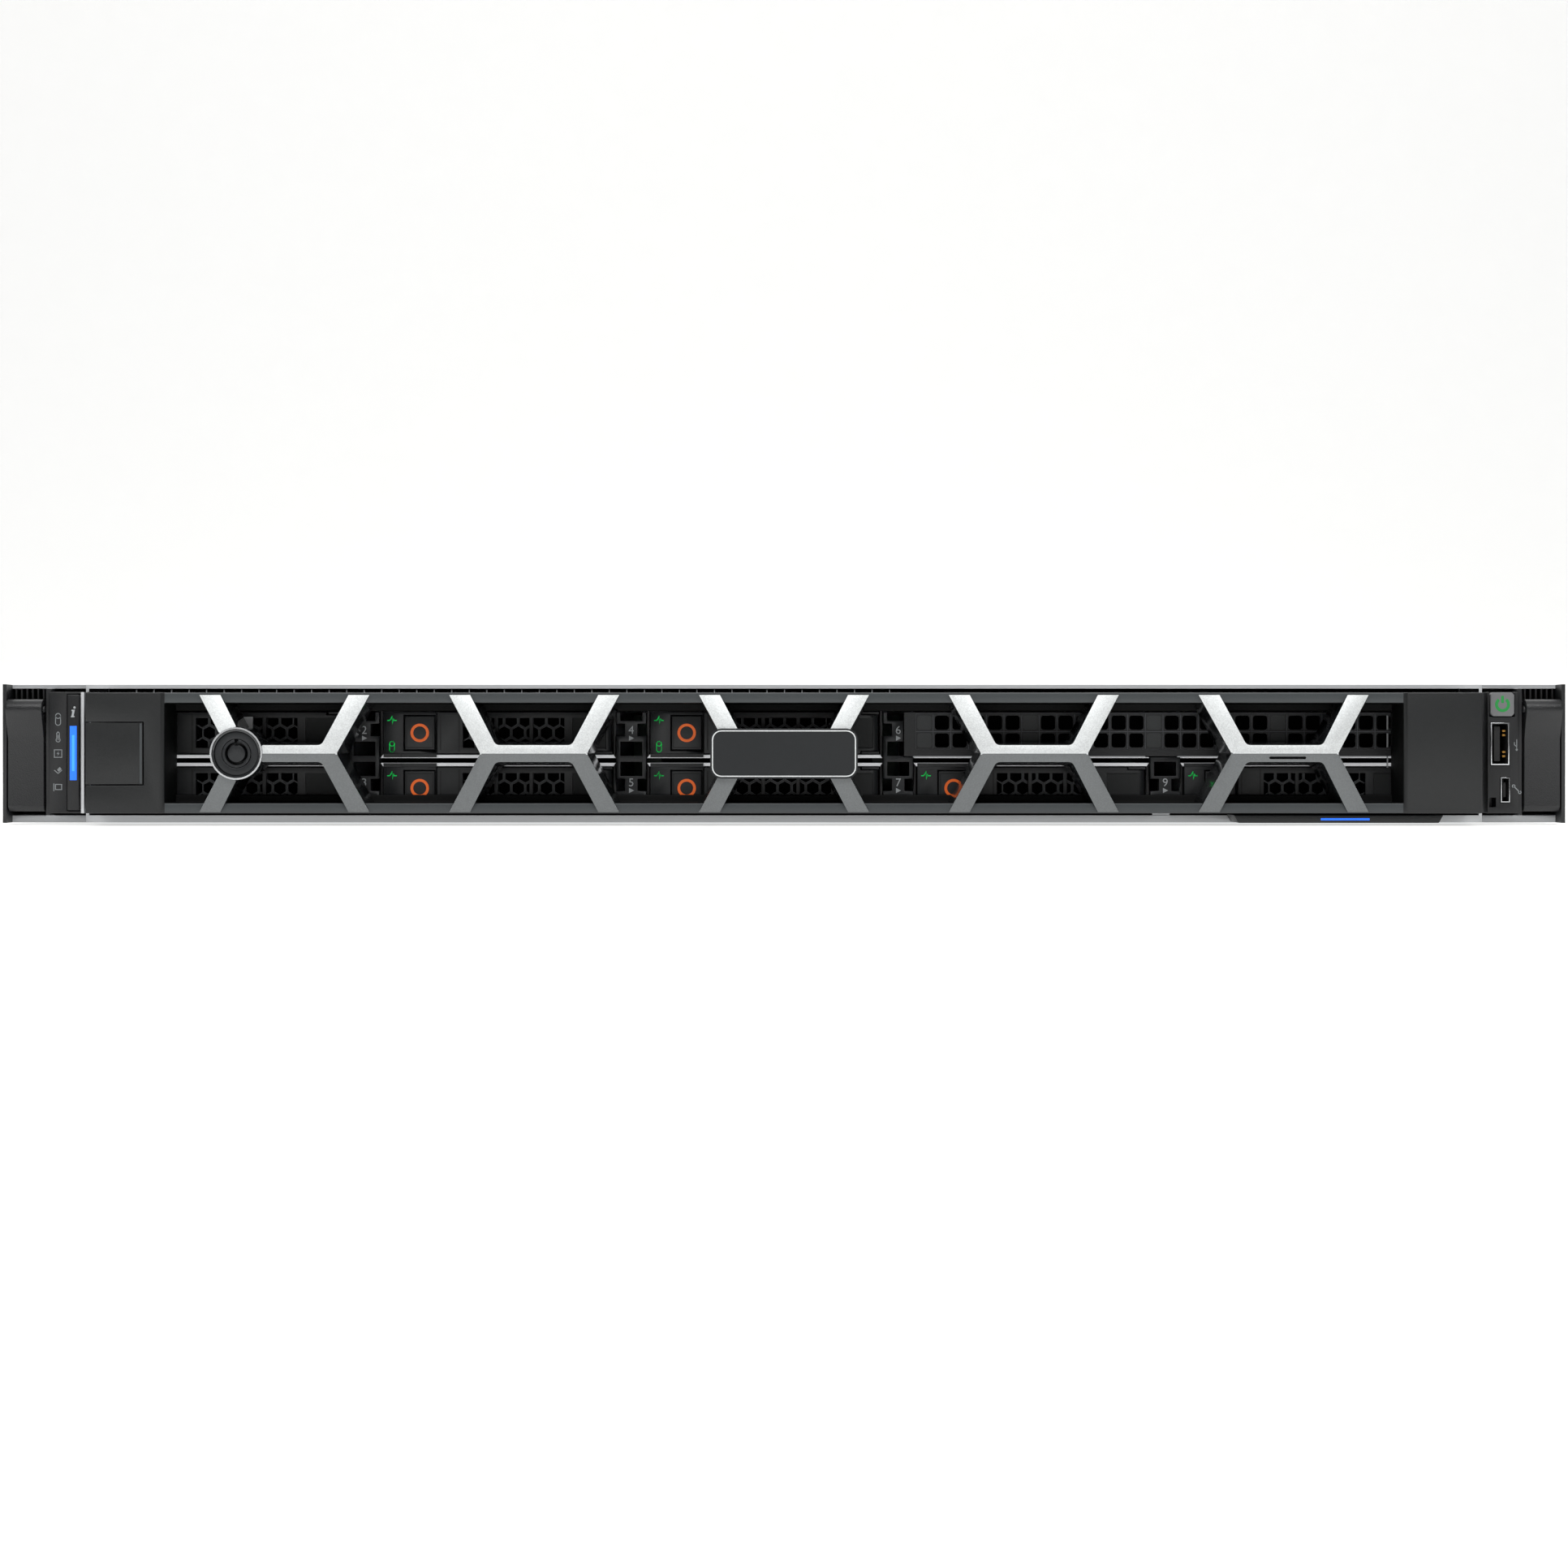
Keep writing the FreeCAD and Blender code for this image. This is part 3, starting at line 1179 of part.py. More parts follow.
def mainboard():
    """The L-shaped main board with its sockets, slots and small parts."""
    back = f"({REAR} - wall_sheet - 0.5)"
    board = prism("XY_Plane", [
        (BOARD_LEFT, BOARD), (BOARD_RIGHT, BOARD), (BOARD_RIGHT, SPLIT),
        (BOARD_SPLIT, SPLIT), (BOARD_SPLIT, back), (BOARD_LEFT, back)], "board_sheet")
    place(board, z=BOARD_LOW)
    top = BOARD_TOP
    half = "(socket_side / 2)"
    centre = f"({BOARD} + sink_setback + sink_depth / 2)"
    parts = [board,
             box((f"sink_shift - {half}", f"sink_shift + {half}"),
                 (f"{centre} - {half}", f"{centre} + {half}"), (top, SINK_LOW))]
    for index in range(12):
        x = f"({module_x(index)} + module_sheet / 2)"
        parts.append(box((f"{x} - slot_base / 2", f"{x} + slot_base / 2"),
                         (SLOT_Y, f"{SLOT_Y} + slot_length"), (top, f"{top} + slot_floor")))
    for edge, x, y, wide, deep, tall in BOARD_PARTS:
        parts.append(box((f"{edge} + {x}", f"{edge} + {x + wide}"),
                         (f"{BOARD} + {y}", f"{BOARD} + {y + deep}"), (top, f"{top} + {tall}")))
    parts.append(rod("10", "3.4", "20", f"{REAR} - 60", top, "z"))
    return node("mainboard", join(*parts))


def heatsink():
    """The finned block on the processor."""
    body = new_body()
    low = "sink_base"
    pad(body, outline(body, "XZ_Plane", [("0", "0"), ("sink_width", "0"),
                                         ("sink_width", low), ("0", low)]),
        "sink_depth", backward=True)
    start = "((sink_width - 18 * fin_pitch - fin_sheet) / 2)"
    fin = pad(body, outline(body, "XZ_Plane", [
        (start, "sink_base / 2"), (f"{start} + fin_sheet", "sink_base / 2"),
        (f"{start} + fin_sheet", "sink_height"), (start, "sink_height")]),
        "sink_depth", backward=True)
    repeat(body, fin, "X_Axis", "fin_pitch", 19)
    return node("heatsink", place(body, "sink_shift - sink_width / 2",
                                  f"{BOARD} + sink_setback", SINK_LOW))


def memory_modules():
    """Twelve upright modules in the slots beside the heat sink."""
    low = f"({BOARD_TOP} + slot_floor)"
    y = f"({SLOT_Y} + slot_length / 2 - module_length / 2)"
    source = box(("0", "module_sheet"), ("0", "module_length"), ("0", "module_height"))
    return node("memory_modules", bundle(*[
        copy_of(source, x=module_x(index), y=y, z=low) for index in range(12)]))


def air_shroud():
    """The bevelled channel over processor and memory."""
    reach = "(sink_width / 2 + module_gap + 6 * module_pitch + shroud_margin)"
    a, b = f"(sink_shift - {reach})", f"(sink_shift + {reach})"
    low, high, gauge, cut_in = BOARD_TOP, "(shroud_low + shroud_sheet)", "shroud_sheet", "4"
    profile = [
        (a, low), (f"{a} + {gauge}", low), (f"{a} + {gauge}", f"{high} - {cut_in} - 0.5"),
        (f"{a} + {cut_in} + 0.5", "shroud_low"), (f"{b} - {cut_in} - 0.5", "shroud_low"),
        (f"{b} - {gauge}", f"{high} - {cut_in} - 0.5"), (f"{b} - {gauge}", low), (b, low),
        (b, f"{high} - {cut_in}"), (f"{b} - {cut_in}", high), (f"{a} + {cut_in}", high),
        (a, f"{high} - {cut_in}")]
    return node("air_shroud", place(prism("XZ_Plane", profile, "shroud_depth", backward=True),
                                    y=f"{BOARD} + 2"))


def riser_card():
    """The riser with its connector, adapter card and slot bracket."""
    front = f"({REAR} - riser_front)"
    wall = f"({REAR} - wall_sheet)"
    left = f"({RISER} - card_span)"
    parts = [
        box((RISER, f"{RISER} + board_sheet"), (front, f"{front} + riser_depth"),
            (BOARD_TOP, "shroud_low - 1")),
        box((f"{RISER} - 8", RISER), (f"{front} + 12", f"{front} + 101"),
            ("card_rise - 3", "card_rise + 4.6")),
        box((f"{left} + 2", f"{RISER} - 4"), (f"{front} + 10", wall),
            ("card_rise", "card_rise + board_sheet")),
        box((f"{left} - 2", f"{RISER} - 6"), (f"{wall} - wall_sheet", wall),
            ("card_rise - 5", "card_rise + 17")),
        box((f"{left} + 34", f"{left} + 64"), (f"{front} + 40", f"{front} + 70"),
            ("card_rise", "card_rise + 12")),
        box((f"{left} + 10", f"{left} + 40"), (f"{wall} - 34", f"{wall} - 12"),
            ("card_rise", "card_rise + 6")),
        box((f"{RISER} - 3", f"{RISER} + 5"), (f"{front} + 10", f"{front} + 80"),
            (BOARD_TOP, f"{BOARD_TOP} + 7")),
    ]
    vents = [box((f"{left} + {x}", f"{left} + {x + 2.6}"), (f"{wall} - 1.5 * wall_sheet", REAR),
                 ("card_rise + 4", "card_rise + 14")) for x in range(8, 88, 8)]
    return node("riser_card", cut(join(*parts), *vents))


def supplies():
    """Two slide-in supplies, each with a grab loop and a latch tab."""
    width, tall = "supply_width", "supply_height"
    case = box(("0", width), ("0 - supply_depth", "0"), ("0", tall))
    grip = ("inlet_left + inlet_width + 2.4", "inlet_left + inlet_width + 2.4 + grip_post")
    loop = soften(box(grip, ("0 - 1", "handle_reach"),
                      ("grip_low", "grip_low + grip_span + grip_post")), "2.4",
                  lambda edge: at(edge, y=number("handle_reach"))
                  and at(edge, z=edge.Vertexes[0].Z), "Part::Chamfer")
    finger = box((f"{grip[0]} - 1", f"{grip[1]} + 1"), ("0", "handle_reach - grip_post"),
                 ("grip_low + grip_post", "grip_low + grip_span"))
    inlet = box(("inlet_left", "inlet_left + inlet_width"), ("0 - inlet_depth", "1"),
                (f"{tall} / 2 - inlet_height / 2", f"{tall} / 2 + inlet_height / 2"))
    vent = rod("grille_radius", "7", f"{grip[1]} + grille_radius - 1.5", "0 - 6", f"{tall} / 2")
    source = join(cut(case, inlet, vent), cut(loop, finger))
    tab_x = f"({width} - tab_sheet - 1.2)"
    knuckle = rod("tab_sheet", "tab_height", f"{tab_x} + tab_sheet / 2", "tab_sheet + 0.3",
                  f"{tall} / 2 - tab_height / 2", "z")
    tab = box((tab_x, f"{tab_x} + tab_sheet"), ("tab_sheet + 0.3", "tab_reach"),
              (f"{tall} / 2 - tab_height / 2", f"{tall} / 2 + tab_height / 2"))
    lip = box((f"{tab_x} - 1.4", f"{tab_x} + tab_sheet"), ("tab_reach - 2", "tab_reach"),
              (f"{tall} / 2 - tab_height / 2", f"{tall} / 2 + tab_height / 2"))
    tab = join(knuckle, tab, lip)
    for count, left in ((1, SUPPLY_LEFT),
                        (2, f"({SUPPLY} - supply_width)")):
        spot = dict(x=left, y=REAR, z="floor_sheet + supply_play")
        node(f"psu_{count}", copy_of(source, **spot))
        node(f"psu_latch_{count}", copy_of(tab, **spot))


DISH = f"({REAR} - dish_front)"
DISH_HALF = "(dish_width / 2)"
LATCH_Z = "(chassis_height - 0.2 - latch_sheet)"


def top_cover():
    """The lift-off cover, with the dish that its latch lies in."""
    wall = "cover_sheet"
    skin = box((minus(HALF), HALF), (f"{DECK_END} + deck_gap", REAR), (LID, "chassis_height"))
    dish = box((f"0 - {DISH_HALF} - {wall}", f"{DISH_HALF} + {wall}"),
               (f"{DISH} - {wall}", f"{DISH} + dish_length + {wall}"),
               (f"{LID} - dish_depth - {wall}", LID))
    room = box((minus(DISH_HALF), DISH_HALF), (DISH, f"{DISH} + dish_length"),
               (f"{LID} - dish_depth", "chassis_height + 1"))
    pin = peg("latch_pin", "dish_width", minus(DISH_HALF), f"{DISH} + 4", LATCH_Z, "x")
    return node("top_cover", join(cut(join(skin, dish), room), pin))


def cover_latch():
    """The flush lever that releases the cover."""
    half = f"({DISH_HALF} - latch_play)"
    a, pivot = minus(half), f"({DISH} + 4)"
    plate = box((a, half), (pivot, f"{DISH} + dish_length - 3"), (LATCH_Z, f"{LATCH_Z} + latch_sheet"))
    roll = rod("latch_sheet", f"2 * {half}", a, pivot, LATCH_Z, "x")
    lip = box((a, half), (f"{DISH} + dish_length - 6", f"{DISH} + dish_length - 3"),
              (f"{LATCH_Z} - 1.6", LATCH_Z))
    bore = peg("latch_pin + latch_pin_play", f"2 * {half} + 2", f"{a} - 1", pivot, LATCH_Z, "x")
    return node("cover_latch", cut(join(plate, roll, lip), bore))


# ---------------------------------------------------------------- build

def build():
    """Make every sub-part, check it and write it."""
    rack_tray()
    drive_cage()
    bay_dividers()
    blank_panel()
    backplane()
    right = ear()
    node("right_ear", right)
    node("left_ear", mirrored(right))
    lever = slam_lever()
    node("right_latch", lever)
    node("left_latch", mirrored(lever))
    port_sockets(*control_panels())
    drives()
    bezel_frame()
    bezel_bars()
    lock()
    release_button()
    info_tag()
    fans()
    mainboard()
    heatsink()
    memory_modules()
    air_shroud()
    riser_card()
    supplies()
    top_cover()
    cover_latch()
    doc.recompute()
    for thing in doc.Objects:
        if {"Invalid", "Error"} & set(thing.State):
            raise RuntimeError(f"{thing.Name} ({thing.Label}) failed: {thing.State}")
    os.makedirs("parts", exist_ok=True)
    for name, thing in NODES.items():
        shape = thing.Shape
        if shape.isNull() or not shape.isValid() or not shape.Solids:
            raise RuntimeError(f"{name} has no sound solid")
        shape.exportStep(f"parts/{name}.step")
    print(f"{len(NODES)} sub-parts written")


build()
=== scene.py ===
"""Dressing of a one-unit rack server around its CAD frame.

Every length in the classes is in millimetres, in the frame of the CAD part:
X to the right seen from the front, Y to the rear, Z up.  Meshes are written
in metres, with each piece's object at the origin.
"""

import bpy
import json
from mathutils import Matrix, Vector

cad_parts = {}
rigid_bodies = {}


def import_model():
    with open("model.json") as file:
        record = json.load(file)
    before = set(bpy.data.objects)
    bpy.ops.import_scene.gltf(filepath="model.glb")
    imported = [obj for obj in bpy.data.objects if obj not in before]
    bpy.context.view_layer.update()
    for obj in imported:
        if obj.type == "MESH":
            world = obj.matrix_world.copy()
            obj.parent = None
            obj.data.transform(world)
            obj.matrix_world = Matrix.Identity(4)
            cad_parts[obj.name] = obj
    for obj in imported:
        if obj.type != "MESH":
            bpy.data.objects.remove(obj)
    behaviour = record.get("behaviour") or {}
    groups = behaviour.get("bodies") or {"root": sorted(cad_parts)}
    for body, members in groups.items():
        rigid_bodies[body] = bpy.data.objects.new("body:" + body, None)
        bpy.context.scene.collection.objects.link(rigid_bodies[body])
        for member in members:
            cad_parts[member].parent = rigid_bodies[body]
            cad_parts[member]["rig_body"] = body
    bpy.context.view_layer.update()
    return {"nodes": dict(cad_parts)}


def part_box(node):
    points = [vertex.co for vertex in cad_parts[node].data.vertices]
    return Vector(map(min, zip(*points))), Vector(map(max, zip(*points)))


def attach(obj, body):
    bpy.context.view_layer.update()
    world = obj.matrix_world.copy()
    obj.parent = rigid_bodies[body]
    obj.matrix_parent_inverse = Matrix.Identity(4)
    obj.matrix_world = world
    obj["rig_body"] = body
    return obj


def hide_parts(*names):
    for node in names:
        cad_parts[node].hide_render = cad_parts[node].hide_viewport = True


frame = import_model()

import json
import logging
import math
from dataclasses import dataclass, field
from enum import Enum
from typing import Callable, ClassVar, Iterable, Sequence, Union

import bmesh
import bpy
from mathutils import Matrix, Vector

LOG = logging.getLogger("rack_server")
MM = 0.001
Point = tuple[float, float, float]
Span = tuple[float, float]
Box = tuple[Span, Span, Span]
Path = tuple[Span, ...]
Pick = Callable[[Vector, Vector], int]
Feed = Union[float, bpy.types.NodeSocket]


def tone(red: float, green: float, blue: float) -> Point:
    """Linear colour of a display colour.

    Args:
        red: display red, 0 to 255.
        green: display green, 0 to 255.
        blue: display blue, 0 to 255.

    Returns:
        The three linear channels.
    """
    parts = (part / 255 for part in (red, green, blue))
    return tuple(p / 12.92 if p <= 0.04045 else ((p + 0.055) / 1.055) ** 2.4 for p in parts)


# ------------------------------------------------------------------ finishes

class Grain(Enum):
    """How a surface is broken up."""

    SMOOTH = "smooth"
    SPARK = "fine moulded texture"
    LEATHER = "coarse moulded grain"
    FLAKE = "metal flake paint"
    SPANGLE = "zinc spangle"
    BRUSHED = "brushed along X"
    CIRCUIT = "board traces"


@dataclass(frozen=True)
class Finish:
    """One finish, built once as a procedural material."""

    COAT_ROUGH: ClassVar[float] = 0.12
    BRUSH_STRETCH: ClassVar[Point] = (0.02, 1.0, 1.0)
    BROAD_SCALE: ClassVar[float] = 38.0
    BROAD_SHARE: ClassVar[float] = 0.35
    NOISE_DETAIL: ClassVar[float] = 3.0
    RAMP_STOPS: ClassVar[Span] = (0.25, 0.75)
    GLOSS_SPREAD: ClassVar[float] = 0.18
    RELIEF: ClassVar[float] = 0.35
    MORTAR: ClassVar[float] = 0.03

    name: str
    colour: Point
    rough: float = 0.5
    metal: float = 0.0
    grain: Grain = Grain.SPARK
    scale: float = 1500.0
    bump: float = 0.15
    vary: float = 0.10
    coat: float = 0.0
    glow: float = 0.0
    specular: float = 0.5

    def material(self) -> bpy.types.Material:
        """The finish's material, made on first use."""
        known = bpy.data.materials.get(self.name)
        return known or self._build()

    def _build(self) -> bpy.types.Material:
        """Wire the nodes of the finish.

        Returns:
            A new material.
        """
        made = bpy.data.materials.new(self.name)
        made.use_nodes = True
        made.diffuse_color = (*self.colour, 1)
        nodes, links = made.node_tree.nodes, made.node_tree.links
        nodes.clear()
        out = nodes.new("ShaderNodeOutputMaterial")
        shader = nodes.new("ShaderNodeBsdfPrincipled")
        links.new(shader.outputs["BSDF"], out.inputs["Surface"])
        shader.inputs["Metallic"].default_value = self.metal
        shader.inputs["Coat Weight"].default_value = self.coat
        shader.inputs["Coat Roughness"].default_value = self.COAT_ROUGH
        shader.inputs["Specular IOR Level"].default_value = self.specular
        spot = nodes.new("ShaderNodeTexCoord").outputs["Object"]
        if self.grain is Grain.BRUSHED:
            stretch = nodes.new("ShaderNodeMapping")
            stretch.inputs["Scale"].default_value = self.BRUSH_STRETCH
            links.new(spot, stretch.inputs["Vector"])
            spot = stretch.outputs["Vector"]
        fine = self._texture(nodes, links, spot)
        broad = nodes.new("ShaderNodeTexNoise")
        broad.inputs["Scale"].default_value = self.BROAD_SCALE
        broad.inputs["Detail"].default_value = self.NOISE_DETAIL
        links.new(nodes["Texture Coordinate"].outputs["Object"], broad.inputs["Vector"])
        share = nodes.new("ShaderNodeMix")
        share.inputs["Factor"].default_value = self.BROAD_SHARE
        links.new(fine, share.inputs["A"])
        links.new(broad.outputs["Fac"], share.inputs["B"])
        ramp = nodes.new("ShaderNodeValToRGB")
        factors = (1 - self.vary, 1 + self.vary)
        for stop, factor, place in zip(ramp.color_ramp.elements, factors, self.RAMP_STOPS):
            stop.color = (*(min(1.0, part * factor) for part in self.colour), 1)
            stop.position = place
        links.new(share.outputs["Result"], ramp.inputs["Fac"])
        links.new(ramp.outputs["Color"], shader.inputs["Base Color"])
        gloss = nodes.new("ShaderNodeMapRange")
        gloss.inputs["To Min"].default_value = max(0.02, self.rough * (1 - self.GLOSS_SPREAD))
        gloss.inputs["To Max"].default_value = min(1.0, self.rough * (1 + self.GLOSS_SPREAD))
        links.new(share.outputs["Result"], gloss.inputs["Value"])
        links.new(gloss.outputs["Result"], shader.inputs["Roughness"])
        if self.bump and self.grain is not Grain.SMOOTH:
            bump = nodes.new("ShaderNodeBump")
            bump.inputs["Strength"].default_value = self.bump
            bump.inputs["Distance"].default_value = self.RELIEF / self.scale
            links.new(fine, bump.inputs["Height"])
            links.new(bump.outputs["Normal"], shader.inputs["Normal"])
        if self.glow:
            shader.inputs["Emission Color"].default_value = (*self.colour, 1)
            shader.inputs["Emission Strength"].default_value = self.glow
        return made

    def _texture(self, nodes: bpy.types.Nodes, links: bpy.types.NodeLinks,
                 spot: bpy.types.NodeSocket) -> bpy.types.NodeSocket:
        """The fine pattern that colour, gloss and bump share.

        Args:
            nodes: the material's nodes.
            links: the material's links.
            spot: the coordinates to read.

        Returns:
            A socket with values near 0 to 1.
        """
        if self.grain in (Grain.LEATHER, Grain.SPANGLE, Grain.FLAKE):
            cell = nodes.new("ShaderNodeTexVoronoi")
            cell.inputs["Scale"].default_value = self.scale
            links.new(spot, cell.inputs["Vector"])
            if self.grain is Grain.LEATHER:
                cell.feature = "SMOOTH_F1"
                return cell.outputs["Distance"]
            part = nodes.new("ShaderNodeSeparateColor")
            links.new(cell.outputs["Color"], part.inputs["Color"])
            return part.outputs["Red"]
        noise = nodes.new("ShaderNodeTexNoise")
        noise.inputs["Scale"].default_value = self.scale
        noise.inputs["Detail"].default_value = self.NOISE_DETAIL
        if self.grain is Grain.CIRCUIT:
            noise = nodes.new("ShaderNodeTexBrick")
            noise.inputs["Scale"].default_value = self.scale
            noise.inputs["Mortar Size"].default_value = self.MORTAR
        links.new(spot, noise.inputs["Vector"])
        return noise.outputs["Fac"]


STEEL = Finish("zinc_sheet", tone(168, 172, 175), 0.46, 0.7, Grain.SPANGLE, 210, 0.03, 0.06)
EDGE = Finish("bright_sheet_edge", tone(190, 192, 194), 0.34, 0.35, Grain.BRUSHED, 2600, 0.05,
              0.05)
# zinc edge made brighter where the bezel shades it: painted light
LIT_LIP = Finish("sheet_lip_painted_light", tone(224, 226, 228), 0.34, 0.25, Grain.BRUSHED, 2600, 0.04,
             0.04)
# near-white glowing shelf edge inside the shaded window: painted light
LIT_SHELF_LIP = Finish("shelf_lip_painted_light", tone(232, 234, 236), 0.34, 0.1, Grain.BRUSHED, 2600, 0.04,
                   0.04, glow=0.3)
COMB_WALL = Finish("comb_wall", tone(74, 77, 79), 0.48, 0.0, Grain.SPARK, 2400, 0.12)
# near-black for gaps, holes and the space behind vents and windows: painted shade
VOID_SHADE = Finish("painted_void_shade", tone(5, 5, 6), 0.9, 0.0, Grain.SPARK, 900, 0.05, specular=0.05)
BLACK_STEEL = Finish("black_coated_steel", tone(24, 25, 27), 0.42, 0.0, Grain.SPARK, 2400, 0.15)
PLASTIC = Finish("dark_moulding", tone(33, 35, 37), 0.46, 0.0, Grain.SPARK, 2400, 0.18)
VENT_FILL = Finish("vent_fill", tone(58, 61, 62), 0.5, 0.0, Grain.SPARK, 2400, 0.14)
VENT_LINE = Finish("vent_line", tone(96, 98, 104), 0.5, 0.0, Grain.SPARK, 2400, 0.1)
# the dark moulding again, darker for the forward control panels: painted shade
SHADED_PANEL = Finish("panel_moulding_painted_shade", tone(18, 19, 21), 0.42, 0.0, Grain.SPARK, 2400, 0.18)
# near-black for seams, grooves and ribs, and for the cage front, tray's corner flanges and socket
# insides as painted shade
DARK_SEAM_AND_SHADE = Finish("dark_seams_and_painted_shade", tone(12, 12, 13), 0.55, 0.0, Grain.SPARK, 1800, 0.12)
RAIL = Finish("bezel_rail_paint", tone(58, 62, 64), 0.40, 0.0, Grain.SPARK, 2200, 0.16, 0.06)
BLOCK = Finish("bezel_block_paint", tone(20, 22, 23), 0.44, 0.0, Grain.SPARK, 1800, 0.22, 0.07)
# the bezel's own plastic, near-black on the window's walls and set-back faces: painted shade
THROAT_SHADE = Finish("bezel_inner_wall_painted_shade", tone(9, 10, 10), 0.6, 0.0, Grain.SPARK, 1600, 0.10,
                specular=0.15)
LEATHER = Finish("lever_grain", tone(22, 23, 25), 0.38, 0.0, Grain.LEATHER, 3200, 0.6, 0.12)
SILVER = Finish("bar_flake_paint", tone(228, 231, 231), 0.42, 0.5, Grain.FLAKE, 4200, 0.10, 0.09)
# the bars' silver again, darker for their downward facets: painted shade
BAR_UNDERSIDE_SHADE = Finish("bar_lower_facet_painted_shade", tone(112, 115, 116), 0.45, 0.4, Grain.FLAKE, 4200, 0.10, 0.09)
FLANK = Finish("bar_flank_gloss", tone(34, 36, 38), 0.16, 0.2, Grain.SPARK, 700, 0.05, 0.06, 0.6)
CHROME = Finish("lock_ring_metal", tone(226, 228, 230), 0.18, 1.0, Grain.SMOOTH)
LOCK_FACE = Finish("lock_face", tone(34, 36, 38), 0.40, 0.3, Grain.SPARK, 2600, 0.10)
DRIVE_STEEL = Finish("drive_case_metal", tone(150, 153, 156), 0.34, 0.9, Grain.BRUSHED, 1800,
                     0.05)
PRINT = Finish("pale_print", tone(176, 180, 182), 0.6, 0.0, Grain.SMOOTH)
DIM_PRINT = Finish("grey_print", tone(128, 132, 134), 0.6, 0.0, Grain.SMOOTH)
GREEN = Finish("green_light", tone(28, 190, 84), 0.5, 0.0, Grain.SMOOTH, glow=0.9)
BLUE = Finish("blue_light", tone(30, 104, 232), 0.4, 0.0, Grain.SMOOTH, glow=0.95)
CYAN = Finish("blue_light_core", tone(58, 146, 240), 0.4, 0.0, Grain.SMOOTH, glow=0.9)
ORANGE = Finish("orange_ring", tone(235, 104, 34), 0.42, 0.0, Grain.SMOOTH, glow=0.25)
POWER_GREEN = Finish("power_mark", tone(26, 128, 56), 0.5, 0.0, Grain.SMOOTH, glow=0.25)
POWER_CAP = Finish("power_cap", tone(112, 113, 114), 0.5, 0.0, Grain.SPARK, 2200, 0.12, 0.05)
VIDEO_BLUE = Finish("video_insert", tone(32, 58, 140), 0.45, 0.0, Grain.SPARK, 2400, 0.1)
SOCKET = Finish("socket_shell", tone(196, 198, 200), 0.26, 0.95, Grain.BRUSHED, 1800, 0.04)
GOLD = Finish("gold_contact", tone(176, 132, 66), 0.3, 0.9, Grain.SMOOTH)
BOARD = Finish("board_lacquer", tone(20, 74, 44), 0.38, 0.0, Grain.CIRCUIT, 260, 0.25, 0.16, 0.3)
CHIP = Finish("chip_black", tone(28, 28, 30), 0.42, 0.0, Grain.SPARK, 2600, 0.1)
SINK = Finish("sink_aluminium", tone(186, 188, 190), 0.3, 0.95, Grain.BRUSHED, 900, 0.05)
FAN = Finish("fan_plastic", tone(34, 35, 36), 0.5, 0.0, Grain.SPARK, 1500, 0.12)
SUPPLY = Finish("supply_case", tone(158, 161, 164), 0.36, 0.9, Grain.SPANGLE, 260, 0.03, 0.08)
TERRACOTTA = Finish("release_tab", tone(150, 74, 40), 0.5, 0.0, Grain.SPARK, 1800, 0.12)
LATCH_BLUE = Finish("cover_lever_blue", tone(36, 78, 138), 0.45, 0.0, Grain.SPARK, 1800, 0.12)
LABEL = Finish("plain_label", tone(30, 32, 33), 0.62, 0.0, Grain.SPARK, 3000, 0.05, 0.05)
FLOOR = Finish("pale_floor", tone(236, 236, 235), 0.8, 0.0, Grain.SPARK, 40, 0.02, 0.02,
               glow=0.62, specular=0.1)


# ------------------------------------------------------------------ meshes

SHARP = 38.0   # degrees past which an edge of a softened piece is shaded sharp
FLAT = 0.5     # the same for a piece that is shaded flat
FOLD = 32.0    # degrees past which an edge of a CAD piece is rounded
COPLANAR = 0.5  # degrees within which two triangles are one face
SKEW = 60.0    # degrees that a joined face's corners may lean
MERGE = 2e-6   # metres within which two corners are one


def corners(node: str) -> tuple[Vector, Vector]:
    """A CAD node's lowest and highest corners, in millimetres."""
    low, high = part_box(node)
    return low / MM, high / MM


def behind(face: float, first: float, last: float) -> Span:
    """Front and rear, both measured from a face towards the rear."""
    return face + first, face + last


def around(middle: float, half: float) -> Span:
    """A span with its middle and half its width."""
    return middle - half, middle + half


def near(x: float, z: float, steps: Iterable[Span]) -> list[Span]:
    """Points given as steps across and up from a centre."""
    return [(x + across, z + up) for across, up in steps]


def square(xs: Span, zs: Span) -> list[Span]:
    """The four corners of an upright rectangle."""
    return [(xs[0], zs[0]), (xs[1], zs[0]), (xs[1], zs[1]), (xs[0], zs[1])]


def shifted(box: Box, x: float, y: float, z: float) -> Box:
    """A box moved by a step along each axis."""
    return tuple(behind(step, *span) for step, span in zip((x, y, z), box))


def within(value: float, span: Span) -> bool:
    """Whether a value lies inside a span."""
    return span[0] < value < span[1]


def beyond(axis: int, high: float, low: float = -math.inf) -> Pick:
    """A pick of the second finish past a limit, or outside of two.

    Args:
        axis: 0, 1 or 2 for X, Y or Z.
        high: the upper limit, in millimetres.
        low: the lower limit, in millimetres.

    Returns:
        The pick.
    """
    return lambda centre, _normal: int(not low <= centre[axis] <= high)


